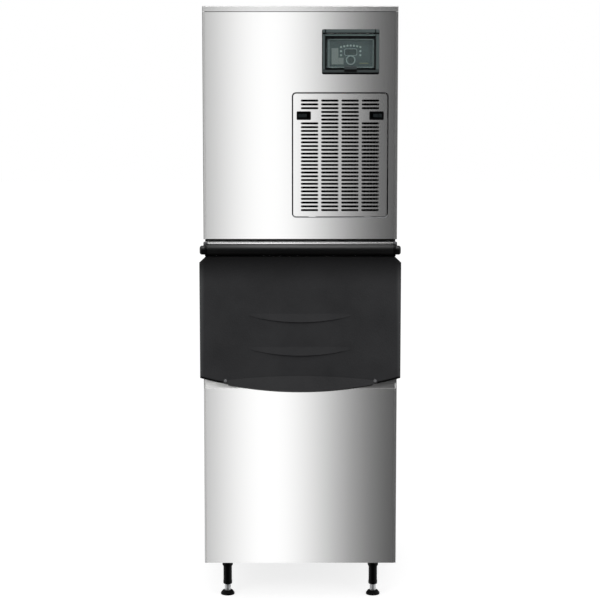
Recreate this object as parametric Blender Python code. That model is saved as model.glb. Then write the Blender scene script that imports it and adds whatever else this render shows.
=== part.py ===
"""A modular ice machine: a stainless cube-ice head on an insulated storage bin.

Metres, +Z up. The front faces -Y, and the origin is on the floor, under the
middle of the whole machine. A reach is a distance forward of the head's face.
"""

import math

import bmesh
import bpy
from mathutils import Matrix, Vector

# Sheet metal and clearances
SHEET = 0.0012
GAP = 0.0003
BEND = 0.002

# Head casing
HEAD_WIDTH = 0.560
HEAD_DEPTH = 0.600
HEAD_HEIGHT = 0.6686
LID_LIP = 0.0161
LID_SEAM = 0.0008
SIDE_FLANGE = 0.0075
REAR_FLANGE = 0.012
BASE_FLANGE = 0.025
DIVIDER_INSET = 0.310
REAR_LOUVRES = 7
REAR_LOUVRE_WIDTH = 0.180
REAR_LOUVRE_HEIGHT = 0.008
REAR_LOUVRE_PITCH = 0.024

# Storage bin
BIN_STEP = 0.005
BIN_HEIGHT = 0.9162
BIN_FRONT_REACH = 0.145
BIN_FLANGE = 0.0055
GASKET_HEIGHT = 0.0062
GASKET_WIDTH = 0.025
FOAM = 0.040
CAVITY_ROUND = 0.030
DECK_FLANGE = 0.060
DECK_BEND = 0.006
RIM_FLANGE = 0.028
DROP_LEFT_INSET = 0.052
DROP_RIGHT_INSET = 0.025
DROP_NEAR = 0.090
DROP_FAR = 0.260

# Legs
LEG_HEIGHT = 0.105
LEG_INSET = 0.064
FRONT_LEG_INSET = 0.045
REAR_LEG_INSET = 0.050
LEG_PLATE_RADIUS = 0.0153
LEG_PLATE_HEIGHT = 0.0170
LEG_TOP_RADIUS = 0.0128
LEG_COLLAR_RADIUS = 0.0132
LEG_COLLAR_HEIGHT = 0.006
LEG_BOTTOM = 0.037
STEM_RADIUS = 0.0091
STEM_INSIDE = 0.030
PAD_RADIUS = 0.0198
PAD_HEIGHT = 0.0125
PAD_RIM_HEIGHT = 0.0056
PAD_TOP_RADIUS = 0.0143
LEG_SIDES = 14

# Door, in its own frame: s runs down the face from the hinge axis
DOOR_SLANT = math.radians(23)
HINGE_REACH = 0.021
HINGE_DROP = 0.0227
ROLL_RADIUS = 0.0169
PIN_RADIUS = 0.005
PIN_LENGTH = 0.0075
CAP_RADIUS = 0.0120
CAP_LENGTH = 0.0147
CAP_ROUND = 0.0045
CAP_ARM_LENGTH = 0.034
CAP_ARM_HEIGHT = 0.018
CAP_ARM_THICK = 0.003
DOOR_FACE = 0.002
DOOR_DEPTH = 0.0295
DOOR_WALL = 0.004
DOOR_TOP_INSET = 0.003
DOOR_SHOULDER_OUT = 0.016
DOOR_SHOULDER = 0.036
DOOR_CORNER_OUT = 0.0093
DOOR_SAG = 0.039
DOOR_BELOW_TRIM = 0.030
DOOR_EDGE_ROUND = 0.006
LIP_HEIGHT = 0.049
LIP_DEPTH = 0.012
PLUG_DEPTH = 0.016
PLUG_MARGIN = 0.009
SEAL_WIDTH = 0.014
SEAL_HEIGHT = 0.0022

# Mouth of the bin, in the door's frame
TRIM_HEIGHT = 0.004
TRIM_INSET = 0.0015
TRIM_TOP = 0.030
TRIM_ABOVE_BEND = 0.01387
MOUTH_INSET = 0.043
MOUTH_TOP = 0.058
MOUTH_SILL = 0.042

# Raised smile mouldings on the door
SMILE_INSET = 0.126
SMILE_ABOVE = (0.222, 0.124)
SMILE_DEEP = 0.021
SMILE_RISE = 0.0045
SMILE_EDGE = 0.003
SMILE_STEPS = 16

# Lens-shaped grip strip at the door's lower edge
GRIP_HEIGHT = 0.0415
GRIP_THICK = 0.0032
GRIP_LIP = 0.0025
GRIP_INSET = 0.063
GRIP_RISE = 0.0125
GRIP_EAR = 0.0075
GRIP_STEPS = 20
ARC_STEPS = 24

# Air grille
GRILLE_WIDTH = 0.2696
GRILLE_HEIGHT = 0.3532
GRILLE_INSET = 0.1655
GRILLE_ABOVE_BASE = 0.0665
GRILLE_CORNER = 0.008
GRILLE_CLEAR = 0.0017
GRILLE_RETURN = 0.005
GRILLE_TABS = (-0.080, 0.080)
TAB_WIDTH = 0.020
TAB_DROP = 0.007
COLLAR_DEPTH = 0.012
SLOT_ROWS = 30
SLOT_COLUMNS = 4
SLOT_BAR = 0.00466
SLOT_POST = 0.0073667
SLOT_TOP_MARGIN = 0.0199
SLOT_BOTTOM_MARGIN = 0.01836
SLOT_LEFT_MARGIN = 0.0217
SLOT_RIGHT_MARGIN = 0.0226
LATCH_WIDTH = 0.0412
LATCH_HEIGHT = 0.0246
LATCH_EDGE = 0.0304
LATCH_DROP = 0.0629
LATCH_RECESS = 0.011
LATCH_WALL = 0.0025
LATCH_TRAVEL = 0.006
TONGUE_HEIGHT = 0.010
TONGUE_THICK = 0.003

# Control window
WINDOW_INSET = 0.1362
WINDOW_DROP = 0.0661
WINDOW_WIDTH = 0.1633
WINDOW_HEIGHT = 0.1279
WINDOW_ROUND = 0.004
WINDOW_SIDE = 0.0094
WINDOW_TOP_BAR = 0.0095
WINDOW_BOTTOM_BAR = 0.0125
WINDOW_PROUD = 0.006
SLEEVE_WALL = 0.002
SLEEVE_DEPTH = 0.016
COVER_SIDE_CLEAR = 0.0016
COVER_THICK = 0.003
COVER_BOTTOM_CLEAR = 0.003
COVER_PIVOT_DROP = 0.0042
COVER_BARREL = 0.0022
PANE_MARGIN = 0.0075
PANE_TOP_MARGIN = 0.0175
PANE_RISE = 0.0012
CATCH_WIDTH = 0.0362
CATCH_HEIGHT = 0.0145
CATCH_THICK = 0.003
PLATE_THICK = 0.003
PLATE_SET_BACK = 0.0110
BUTTON_X = 0.0006
BUTTON_DROP = 0.0875
BUTTON_RADIUS = 0.0085
BUTTON_PROUD = 0.004
BUTTON_LENGTH = 0.009
BEZEL_RADIUS = 0.0134
BEZEL_WIDTH = 0.0026
BEZEL_RISE = 0.0012
LENS_WIDTH = 0.0333
LENS_HEIGHT = 0.0173
LENS_DROP = 0.0650
LENS_THICK = 0.0015
LAMP_RADIUS = 0.0022
LAMP_RISE = 0.0010
LAMP_ROW_DROP = 0.0463
LAMP_ROW_HALF = 0.0277
LAMP_ROW_COUNT = 7
LAMP_ROW_RISE = 0.0042
LAMP_SIDE_DROPS = (0.0622, 0.0736)

# Condenser and fan, behind the grille
CONDENSER_HALF = 0.110
CONDENSER_BOTTOM = 0.072
CONDENSER_HEIGHT = 0.330
CONDENSER_REACH = -0.030
CONDENSER_DEPTH = 0.042
FIN_COUNT = 24
FIN_THICK = 0.0022
FIN_DEEP = 0.030
BEND_COUNT = 5
TUBE_RADIUS = 0.0045
TUBE_SPACING = 0.025
SHROUD_DEPTH = 0.030
SHROUD_WALL = 0.002
FAN_RING_RADIUS = 0.100
FAN_RING_DEPTH = 0.014
FAN_RADIUS = 0.092
FAN_BLADES = 5
BLADE_WIDTH = 0.046
BLADE_THICK = 0.0022
BLADE_PITCH = math.radians(26)
# Corners of a blade, as shares of its width and of the fan's radius
BLADE_SHAPE = ((-0.275, 0.19), (0.275, 0.19), (0.50, 0.72), (0.42, 0.93), (0.0, 0.975), (-0.50, 0.90),
               (-0.50, 0.60))
HUB_RADIUS = 0.022
HUB_LENGTH = 0.022
MOTOR_RADIUS = 0.034
MOTOR_LENGTH = 0.058
MOTOR_EDGE = 0.005
SHAFT_RADIUS = 0.004
SHAFT_LENGTH = 0.018
STRAP_HEIGHT = 0.028
STRAP_THICK = 0.0025

# Compressor and copper lines
COMPRESSOR_INSET = 0.150
MOTOR_SPACE = 0.240
COMPRESSOR_RADIUS = 0.084
COMPRESSOR_HEIGHT = 0.205
COMPRESSOR_STAND = 0.016
# The can below its seam: shares of its radius, across and up from its foot
CAN_FOOT_SHAPE = ((0.0, 0.0), (0.75, 0.0), (0.95, 0.25), (1.0, 0.45))
SEAM_HEIGHT = 0.113
SEAM_RISE = 0.0025
DOME_STEPS = 5
SUCTION_INLET_HEIGHT = 0.082
FOOT_PLATE_HALF = 0.088
FOOT_PLATE_THICK = 0.003
GROMMET_RADIUS = 0.012
GROMMET_OFFSET = 0.072
LINE_RADIUS = 0.004
LINE_BEND = 0.014
DISCHARGE_ABOVE = 0.025
SUCTION_DROP = 0.260
LIQUID_PORT = 0.018
LIQUID_CLEAR = 0.030
LIQUID_SIDE = 0.055
LIQUID_DROP = 0.190
DRIER_HALF = 0.040
DRIER_SHOULDER = 0.006
DRIER_SCALE = 2.4

# Ice-making side
EVAPORATOR_MARGIN = 0.0441
EVAPORATOR_HEIGHT = 0.352
EVAPORATOR_THICK = 0.014
EVAPORATOR_BOTTOM = 0.175
EVAPORATOR_REACH = -0.300
EVAPORATOR_FLANGE = 0.003
CELL_COLUMNS = 5
CELL_ROWS = 10
CELL_RIM = 0.0035
CELL_DEEP = 0.009
CURTAIN_REACH = -0.281
CURTAIN_MARGIN = 0.0381
CURTAIN_LENGTH = 0.352
CURTAIN_THICK = 0.003
CURTAIN_PIN = 0.003
DISTRIBUTOR_RADIUS = 0.009
TROUGH_BOTTOM = 0.085
TROUGH_HEIGHT = 0.064
TROUGH_WALL = 0.003
TROUGH_AHEAD = 0.013
TROUGH_DEPTH = 0.058
PUMP_INSET = 0.070
PUMP_REACH = -0.390
PUMP_RADIUS = 0.026
PUMP_VOLUTE_RADIUS = 0.030
PUMP_VOLUTE_HEIGHT = 0.024
PUMP_NOZZLE_RADIUS = 0.006
RISER_RADIUS = 0.006
VALVE_INSET = 0.080
VALVE_ABOVE_BASE = 0.200
VALVE_BODY = 0.046
STUB_RADIUS = 0.012
STUB_OUT = 0.020
GLAND_INSET = 0.080
GLAND_ABOVE_BASE = 0.060
GLAND_RADIUS = 0.013
GLAND_OUT = 0.016
GLAND_NUT_RADIUS = 0.0166
GLAND_TIP_RADIUS = 0.0091
GLAND_BORE = 0.0052
GLAND_TAPER = 0.0064
BOX_INSET = 0.220
BOX_DROP = 0.046
BOX_HEIGHT = 0.180
BOX_REACH = -0.040
BOX_DEPTH = 0.120
DRAIN_RADIUS = 0.012
DRAIN_WALL = 0.0025
DRAIN_BELOW = 0.022
DRAIN_FLANGE = 0.022
DRAIN_INSET = 0.110

# Places that follow from the sizes above
HEAD_HALF = HEAD_WIDTH / 2
BIN_HALF = HEAD_HALF - BIN_STEP
DIVIDER_X = HEAD_HALF - DIVIDER_INSET
GRILLE_X = HEAD_HALF - GRILLE_INSET
SLOT_PITCH = (GRILLE_HEIGHT - SLOT_TOP_MARGIN - SLOT_BOTTOM_MARGIN) / (SLOT_ROWS - 1)
SLOT_HEIGHT = SLOT_PITCH - SLOT_BAR
SLOT_STEP = (GRILLE_WIDTH - SLOT_LEFT_MARGIN - SLOT_RIGHT_MARGIN + SLOT_POST) / SLOT_COLUMNS
SLOT_LENGTH = SLOT_STEP - SLOT_POST
LATCH_SPREAD = GRILLE_WIDTH / 2 - LATCH_EDGE
WINDOW_X = HEAD_HALF - WINDOW_INSET
COMPRESSOR_X = HEAD_HALF - COMPRESSOR_INSET
COMPRESSOR_REACH = -(MOTOR_SPACE + HEAD_DEPTH) / 2
TROUGH_NEAR = -EVAPORATOR_REACH - TROUGH_AHEAD
TROUGH_FAR = TROUGH_NEAR + TROUGH_DEPTH
GLAND_X = HEAD_HALF - GLAND_INSET
BOX_LEFT = HEAD_HALF - BOX_INSET
VALVE_X = VALVE_INSET - HEAD_HALF
PUMP_X = PUMP_INSET - HEAD_HALF
DROP_LEFT = DROP_LEFT_INSET - HEAD_HALF
DROP_RIGHT = DIVIDER_X - DROP_RIGHT_INSET
LEG_SPREAD = BIN_HALF - LEG_INSET
FRONT_LEG_REACH = BIN_FRONT_REACH - FRONT_LEG_INSET
DOOR_TOP_HALF = BIN_HALF - DOOR_TOP_INSET
DOOR_SHOULDER_HALF = BIN_HALF + DOOR_SHOULDER_OUT
DOOR_CORNER_HALF = BIN_HALF + DOOR_CORNER_OUT
SMILE_HALF = BIN_HALF - SMILE_INSET
GRIP_HALF = BIN_HALF - GRIP_INSET
TRIM_HALF = BIN_HALF - TRIM_INSET
MOUTH_HALF = BIN_HALF - MOUTH_INSET
BIN_TOP = LEG_HEIGHT + BIN_HEIGHT
HEAD_BOTTOM = BIN_TOP + GASKET_HEIGHT
HEAD_TOP = HEAD_BOTTOM + HEAD_HEIGHT
HINGE_Z = BIN_TOP - HINGE_DROP
TRIM_FACE = DOOR_DEPTH - DOOR_FACE + GAP + SEAL_HEIGHT + GAP
RIM_PLANE = TRIM_FACE + TRIM_HEIGHT + GAP
FRONT_BEND = (BIN_FRONT_REACH - HINGE_REACH + RIM_PLANE * math.cos(DOOR_SLANT)) / math.sin(DOOR_SLANT)
TRIM_BOTTOM = FRONT_BEND - TRIM_ABOVE_BEND
MOUTH_BOTTOM = TRIM_BOTTOM - MOUTH_SILL
DOOR_LOWEST = TRIM_BOTTOM + DOOR_BELOW_TRIM
DOOR_CORNER = DOOR_LOWEST - DOOR_SAG
LIP_START = DOOR_LOWEST - LIP_HEIGHT
SMILE_ENDS = tuple(DOOR_LOWEST - above for above in SMILE_ABOVE)
GRIP_APEX = DOOR_LOWEST - GRIP_HEIGHT
GRIP_FACE = DOOR_FACE + GAP + GRIP_THICK
GRIP_LOWEST = DOOR_LOWEST + GAP + GRIP_LIP
FRONT_REACH = HINGE_REACH + GRIP_LOWEST * math.sin(DOOR_SLANT) + GRIP_FACE * math.cos(DOOR_SLANT)
REAR_REACH = HEAD_DEPTH + STUB_OUT
HEAD_FACE_Y = (FRONT_REACH - REAR_REACH) / 2
HEAD_REAR_Y = HEAD_FACE_Y + HEAD_DEPTH
FLOOR_OF_HEAD = HEAD_BOTTOM + SHEET
GRILLE_BOTTOM = HEAD_BOTTOM + GRILLE_ABOVE_BASE
WINDOW_TOP = HEAD_TOP - WINDOW_DROP
CONDENSER_LOW = HEAD_BOTTOM + CONDENSER_BOTTOM
CONDENSER_TOP = CONDENSER_LOW + CONDENSER_HEIGHT
FAN_Z = CONDENSER_LOW + CONDENSER_HEIGHT / 2
INNER_LEFT = -HEAD_HALF + SHEET + GAP
INNER_RIGHT = HEAD_HALF - SHEET - GAP
WALL_LEFT = INNER_LEFT
WALL_RIGHT = DIVIDER_X - GAP
ZONE_X = (WALL_LEFT + WALL_RIGHT) / 2
EVAPORATOR_WIDTH = WALL_RIGHT - WALL_LEFT - 2 * EVAPORATOR_MARGIN
CURTAIN_WIDTH = WALL_RIGHT - WALL_LEFT - 2 * CURTAIN_MARGIN
EVAPORATOR_LOW = HEAD_BOTTOM + EVAPORATOR_BOTTOM
EVAPORATOR_TOP = EVAPORATOR_LOW + EVAPORATOR_HEIGHT


def at_reach(reach):
    """The y of a distance forward of the head's face."""
    return HEAD_FACE_Y - reach


def placed(axis, u, v, w):
    """A point from two outline coordinates and a distance along axis."""
    return {"X": (w, u, v), "Y": (u, w, v), "Z": (u, v, w)}[axis]


# Outlines

def rectangle(u0, v0, u1, v1):
    return [(u0, v0), (u1, v0), (u1, v1), (u0, v1)]


def rounded(u, v, width, height, radius, steps=3):
    """A rectangle round (u, v) whose corners are arcs of the given steps."""
    points = []
    corners = ((1, -1, -90), (1, 1, 0), (-1, 1, 90), (-1, -1, 180))
    for side_u, side_v, start in corners:
        centre_u = u + side_u * (width / 2 - radius)
        centre_v = v + side_v * (height / 2 - radius)
        for step in range(steps + 1):
            angle = math.radians(start + 90 * step / steps)
            points.append((centre_u + radius * math.cos(angle), centre_v + radius * math.sin(angle)))
    return points


def round_outline(u, v, radius, sides):
    turn = 2 * math.pi / sides
    return [(u + radius * math.cos(turn * i), v + radius * math.sin(turn * i)) for i in range(sides)]


def slot_outline(u, v):
    """One grille slot with rounded ends."""
    half = SLOT_HEIGHT / 2
    reach = SLOT_LENGTH / 2 - half
    points = []
    for side, start in ((1, -90), (-1, 90)):
        for step in range(4):
            angle = math.radians(start + 60 * step)
            points.append((u + side * reach + half * math.cos(angle), v + half * math.sin(angle)))
    return points


def folded(path, thickness=SHEET, bend=BEND, steps=2):
    """Outline of a folded sheet: path is its outer face, and the thickness lies to its left."""
    face, inner = [], []
    points = [Vector(point) for point in path]
    ways = [(b - a).normalized() for a, b in zip(points, points[1:])]
    normals = [Vector((-way.y, way.x)) for way in ways]
    face.append(points[0])
    inner.append(points[0] + thickness * normals[0])
    for corner, before, after in zip(points[1:-1], normals, normals[1:]):
        left = before.x * after.y - before.y * after.x > 0
        near = bend if left else -(bend - thickness)
        centre = corner + near * (before + after) / (1 + before.dot(after))
        for step in range(steps + 1):
            normal = before.slerp(after, step / steps)
            face.append(centre - near * normal)
            inner.append(centre - (near - thickness) * normal)
    face.append(points[-1])
    inner.append(points[-1] + thickness * normals[-1])
    return [tuple(point) for point in face + inner[::-1]]


# Solids

def swept(bm, faces, vector):
    """Sweeps flat faces along a vector into a closed solid."""
    result = bmesh.ops.extrude_face_region(bm, geom=faces)
    moved = [item for item in result["geom"] if isinstance(item, bmesh.types.BMVert)]
    bmesh.ops.translate(bm, vec=vector, verts=moved)
    bmesh.ops.recalc_face_normals(bm, faces=bm.faces)
    return bm


def prism(outline, axis, start, end):
    bm = bmesh.new()
    face = bm.faces.new([bm.verts.new(placed(axis, u, v, start)) for u, v in outline])
    return swept(bm, [face], placed(axis, 0, 0, end - start))


def pierced(outline, holes, axis, start, end):
    """A plate of the outline with every hole cut through it."""
    bm = bmesh.new()
    edges = []
    for loop in [outline] + holes:
        verts = [bm.verts.new(placed(axis, u, v, start)) for u, v in loop]
        edges += [bm.edges.new(pair) for pair in zip(verts, verts[1:] + verts[:1])]
    filled = bmesh.ops.triangle_fill(bm, use_beauty=True, use_dissolve=False, edges=edges)
    faces = [item for item in filled["geom"] if isinstance(item, bmesh.types.BMFace)]
    return swept(bm, faces, placed(axis, 0, 0, end - start))


def prisms(outlines, axis, start, end):
    """One body for each outline, kept in a single mesh."""
    together = bmesh.new()
    for outline in outlines:
        single = prism(outline, axis, start, end)
        mesh = bpy.data.meshes.new("single")
        single.to_mesh(mesh)
        single.free()
        together.from_mesh(mesh)
        bpy.data.meshes.remove(mesh)
    return together


def block(x0, y0, z0, x1, y1, z1):
    return prism(rectangle(x0, y0, x1, y1), "Z", z0, z1)


def revolved(profile, sides, axis="Z", closed=False):
    """Spins (radius, height) points round an axis; closed joins the last point to the first."""
    bm = bmesh.new()
    verts = [bm.verts.new((radius, 0, height)) for radius, height in profile]
    ends = verts[1:] + (verts[:1] if closed else [])
    edges = [bm.edges.new(pair) for pair in zip(verts, ends)]
    bmesh.ops.spin(bm, geom=verts + edges, cent=(0, 0, 0), axis=(0, 0, 1),
                   angle=2 * math.pi, steps=sides, use_merge=True)
    bmesh.ops.remove_doubles(bm, verts=bm.verts, dist=1e-6)
    turns = {"X": Matrix.Rotation(math.pi / 2, 3, "Y"), "Y": Matrix.Rotation(-math.pi / 2, 3, "X")}
    if axis in turns:
        bmesh.ops.rotate(bm, cent=(0, 0, 0), matrix=turns[axis], verts=bm.verts)
    bmesh.ops.recalc_face_normals(bm, faces=bm.faces)
    return bm


def moved(bm, x=0.0, y=0.0, z=0.0):
    bmesh.ops.translate(bm, vec=(x, y, z), verts=bm.verts)
    return bm


def softened(bm, radius, steps, chosen):
    """Rounds the edges for which chosen(a, b) holds, a and b being their ends."""
    edges = [edge for edge in bm.edges if chosen(edge.verts[0].co, edge.verts[1].co)]
    bmesh.ops.bevel(bm, geom=edges, offset=radius, segments=steps, profile=0.5,
                    affect="EDGES", clamp_overlap=True, material=-1)
    return bm


def upright(a, b):
    return abs(a.x - b.x) < 1e-6 and abs(a.y - b.y) < 1e-6


def lengthwise(a, b):
    return abs(a.y - b.y) < 1e-6 and abs(a.z - b.z) < 1e-6


# Objects

def finish(name, colour, roughness=0.4, metallic=0.0):
    material = bpy.data.materials.new(name)
    material.use_nodes = True
    shader = material.node_tree.nodes["Principled BSDF"]
    shader.inputs["Base Color"].default_value = (*colour, 1)
    shader.inputs["Roughness"].default_value = roughness
    shader.inputs["Metallic"].default_value = metallic
    material.diffuse_color = (*colour, 1)
    return material


def piece(name, bm, colour, roughness=0.4, metallic=0.0, parent=None, at=(0, 0, 0)):
    """A named object with its own material; at is its origin, and its mesh is measured from there."""
    mesh = bpy.data.meshes.new(name)
    bm.to_mesh(mesh)
    bm.free()
    mesh.materials.append(finish(name, colour, roughness, metallic))
    mesh.shade_smooth()
    mesh.set_sharp_from_angle(angle=math.radians(35))
    item = bpy.data.objects.new(name, mesh)
    bpy.context.scene.collection.objects.link(item)
    item.location = at
    item.parent = parent
    return item


def boolean(item, bm, joined=False):
    """Cuts bm out of the item, or joins it on, in the item's own frame."""
    mesh = bpy.data.meshes.new(item.name + "_tool")
    bm.to_mesh(mesh)
    bm.free()
    tool = bpy.data.objects.new(mesh.name, mesh)
    bpy.context.scene.collection.objects.link(tool)
    tool.location = item.location
    tool.parent = item.parent
    tool.hide_render = True
    tool.display_type = "WIRE"
    modifier = item.modifiers.new(tool.name, "BOOLEAN")
    modifier.operation = "UNION" if joined else "DIFFERENCE"
    modifier.solver = "EXACT"
    modifier.object = tool
    return item


def pipe(name, route, radius, bend, colour, roughness=0.3, metallic=1.0, wider=()):
    """A bent tube along route, its corners rounded to the bend radius.

    wider holds (point, scale) pairs on the run after the first corner, where the tube swells.
    """
    points = [Vector(point) for point in route]
    line = [(points[0], 1.0)]
    for before, corner, after in zip(points, points[1:], points[2:]):
        start = corner + (before - corner).normalized() * bend
        end = corner + (after - corner).normalized() * bend
        for step in range(5):
            share = step / 4
            line.append((start.lerp(corner, share).lerp(corner.lerp(end, share), share), 1.0))
        if corner is points[1]:
            line += [(Vector(point), scale) for point, scale in wider]
    line.append((points[-1], 1.0))
    curve = bpy.data.curves.new(name, "CURVE")
    curve.dimensions = "3D"
    curve.bevel_depth = radius
    curve.bevel_resolution = 1
    curve.use_fill_caps = True
    spline = curve.splines.new("POLY")
    spline.points.add(len(line) - 1)
    for point, (place, scale) in zip(spline.points, line):
        point.co = (*place, 1)
        point.radius = scale
    curve.materials.append(finish(name, colour, roughness, metallic))
    item = bpy.data.objects.new(name, curve)
    bpy.context.scene.collection.objects.link(item)
    return item


STEEL = (0.62, 0.62, 0.61)
GALVANISED = (0.50, 0.52, 0.53)
BLACK = (0.012, 0.012, 0.013)
DOOR_BLACK = (0.022, 0.023, 0.024)
WHITE = (0.80, 0.81, 0.80)
COPPER = (0.70, 0.33, 0.18)


# Head casing

def head_side(name, side):
    """A side panel folded round the front and the rear corner."""
    outer = side * HEAD_HALF
    front_end = side * (HEAD_HALF - SIDE_FLANGE)
    rear_end = side * (HEAD_HALF - REAR_FLANGE)
    path = [(front_end, HEAD_FACE_Y), (outer, HEAD_FACE_Y), (outer, HEAD_REAR_Y), (rear_end, HEAD_REAR_Y)]
    if side < 0:
        path.reverse()
    outline = folded(path)
    top = HEAD_TOP - LID_LIP - LID_SEAM
    return piece(name, prism(outline, "Z", HEAD_BOTTOM, top), STEEL, 0.3, 1.0)


def head_front_panel():
    """The front sheet, with a collared opening for the grille and a hole for the control window."""
    half = HEAD_HALF - SIDE_FLANGE - GAP
    top = HEAD_TOP - LID_LIP - LID_SEAM
    inside = HEAD_FACE_Y + SHEET
    centre = GRILLE_BOTTOM + GRILLE_HEIGHT / 2
    width = GRILLE_WIDTH + 2 * GRILLE_CLEAR
    height = GRILLE_HEIGHT + 2 * GRILLE_CLEAR
    corner = GRILLE_CORNER + GRILLE_CLEAR
    hole = rectangle(*sleeve_rectangle(GAP))
    sheet = pierced(rectangle(-half, HEAD_BOTTOM, half, top), [hole], "Y", HEAD_FACE_Y, inside)
    panel = piece("head_front_panel", sheet, STEEL, 0.3, 1.0)
    around = rounded(GRILLE_X, centre, width + 2 * SHEET, height + 2 * SHEET, corner + SHEET)
    boolean(panel, prism(around, "Y", HEAD_FACE_Y + SHEET / 2, HEAD_FACE_Y + COLLAR_DEPTH), joined=True)
    opening = rounded(GRILLE_X, centre, width, height, corner)
    boolean(panel, prism(opening, "Y", HEAD_FACE_Y - SHEET, HEAD_FACE_Y + COLLAR_DEPTH + SHEET))
    for x in GRILLE_TABS:
        notch = TAB_WIDTH / 2 + SHEET
        low = GRILLE_BOTTOM - GRILLE_CLEAR - 2 * SHEET
        boolean(panel, block(GRILLE_X + x - notch, inside, low,
                             GRILLE_X + x + notch, HEAD_FACE_Y + COLLAR_DEPTH + SHEET, GRILLE_BOTTOM + SHEET))


def head_rear_panel():
    """The back sheet, with air louvres and the holes for the water stub and the cable gland."""
    half = HEAD_HALF - REAR_FLANGE - GAP
    holes = [round_outline(VALVE_X, HEAD_BOTTOM + VALVE_ABOVE_BASE, STUB_RADIUS + GAP, 16),
             round_outline(GLAND_X, HEAD_BOTTOM + GLAND_ABOVE_BASE, GLAND_RADIUS + GAP, 16)]
    first = FAN_Z + REAR_LOUVRE_PITCH * (REAR_LOUVRES - 1) / 2
    for row in range(REAR_LOUVRES):
        z = first - row * REAR_LOUVRE_PITCH
        holes.append(rounded(COMPRESSOR_X, z, REAR_LOUVRE_WIDTH, REAR_LOUVRE_HEIGHT,
                             REAR_LOUVRE_HEIGHT / 2 - GAP, 2))
    outline = rectangle(-half, HEAD_BOTTOM, half, HEAD_TOP - LID_LIP - LID_SEAM)
    piece("head_rear_panel", pierced(outline, holes, "Y", HEAD_REAR_Y - SHEET, HEAD_REAR_Y),
          GALVANISED, 0.4, 1.0)


def head_base():
    """The pan that carries everything in the head; ice drops through its opening."""
    near = HEAD_FACE_Y + SHEET + GAP
    far = HEAD_REAR_Y - SHEET - GAP
    base = piece("head_base", block(INNER_LEFT, near, HEAD_BOTTOM, INNER_RIGHT, far,
                                    HEAD_BOTTOM + BASE_FLANGE), GALVANISED, 0.4, 1.0)
    boolean(base, block(INNER_LEFT + SHEET, near + SHEET, FLOOR_OF_HEAD, INNER_RIGHT - SHEET,
                        far - SHEET, HEAD_BOTTOM + 2 * BASE_FLANGE))
    boolean(base, drop_cutter(HEAD_BOTTOM - SHEET, FLOOR_OF_HEAD + SHEET, 0.0))


def drop_cutter(low, high, margin):
    """The ice's way down, from the evaporator into the bin."""
    return block(DROP_LEFT - margin, at_reach(-DROP_NEAR + margin), low,
                 DROP_RIGHT + margin, at_reach(-DROP_FAR - margin), high)


def head_top_cover():
    """The lid, with a lip on all four sides that stands on the panels."""
    low = HEAD_TOP - LID_LIP
    lid = block(-HEAD_HALF, HEAD_FACE_Y, low, HEAD_HALF, HEAD_REAR_Y, HEAD_TOP)
    softened(lid, BEND, 2, lambda a, b: upright(a, b) or min(a.z, b.z) > HEAD_TOP - GAP)
    cover = piece("head_top_cover", lid, STEEL, 0.3, 1.0)
    boolean(cover, block(-HEAD_HALF + SHEET, HEAD_FACE_Y + SHEET, low - SHEET, HEAD_HALF - SHEET,
                         HEAD_REAR_Y - SHEET, HEAD_TOP - SHEET))


def divider_panel():
    """The bulkhead between the ice-making side and the refrigeration side."""
    near = HEAD_FACE_Y + 2 * (SHEET + GAP)
    far = HEAD_REAR_Y - 2 * (SHEET + GAP)
    passages = ((at_reach(COMPRESSOR_REACH), EVAPORATOR_TOP - SUCTION_DROP), (liquid_rear(), lines_high()))
    holes = [round_outline(y, z, LINE_RADIUS + 2 * SHEET, 12) for y, z in passages]
    outline = rectangle(near, FLOOR_OF_HEAD + GAP, far, HEAD_TOP - SHEET - GAP)
    piece("divider_panel", pierced(outline, holes, "X", DIVIDER_X, DIVIDER_X + SHEET),
          GALVANISED, 0.4, 1.0)


# Air grille and its latches

def grille_panel(pivot):
    """The slotted filter door in the front panel; its origin is on its tilt line."""
    middle = GRILLE_HEIGHT / 2
    outline = rounded(0, middle, GRILLE_WIDTH, GRILLE_HEIGHT, GRILLE_CORNER)
    holes = []
    first = (SLOT_LENGTH - GRILLE_WIDTH) / 2 + SLOT_LEFT_MARGIN
    for row in range(SLOT_ROWS):
        drop = SLOT_TOP_MARGIN + row * SLOT_PITCH
        by_latch = abs(drop - LATCH_DROP) < (LATCH_HEIGHT + SLOT_HEIGHT) / 2
        for column in range(SLOT_COLUMNS):
            outer = column in (0, SLOT_COLUMNS - 1)
            if not (by_latch and outer):
                holes.append(slot_outline(first + column * SLOT_STEP, GRILLE_HEIGHT - drop))
    z = GRILLE_HEIGHT - LATCH_DROP
    for side in (-1, 1):
        x = side * LATCH_SPREAD
        holes.append(rounded(x, z, LATCH_WIDTH - 2 * LATCH_WALL + 2 * GAP,
                             LATCH_HEIGHT - 2 * LATCH_WALL + 2 * GAP, LATCH_WALL, 1))
    panel = piece("grille_panel", prism(outline, "Y", 0, SHEET), STEEL, 0.3, 1.0, at=pivot)
    boolean(panel, prisms(holes, "Y", -SHEET, 2 * SHEET))
    overlap = GAP / 2
    rim = rounded(0, middle, GRILLE_WIDTH - overlap, GRILLE_HEIGHT - overlap, GRILLE_CORNER)
    inner = rounded(0, middle, GRILLE_WIDTH - 2 * SHEET, GRILLE_HEIGHT - 2 * SHEET, GRILLE_CORNER - SHEET)
    boolean(panel, pierced(rim, [inner], "Y", SHEET / 2, GRILLE_RETURN), joined=True)
    for x in GRILLE_TABS:
        hook = block(x - TAB_WIDTH / 2, SHEET + GAP, -TAB_DROP, x + TAB_WIDTH / 2, 2 * SHEET + GAP, SHEET / 2)
        boolean(panel, hook, joined=True)


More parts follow.
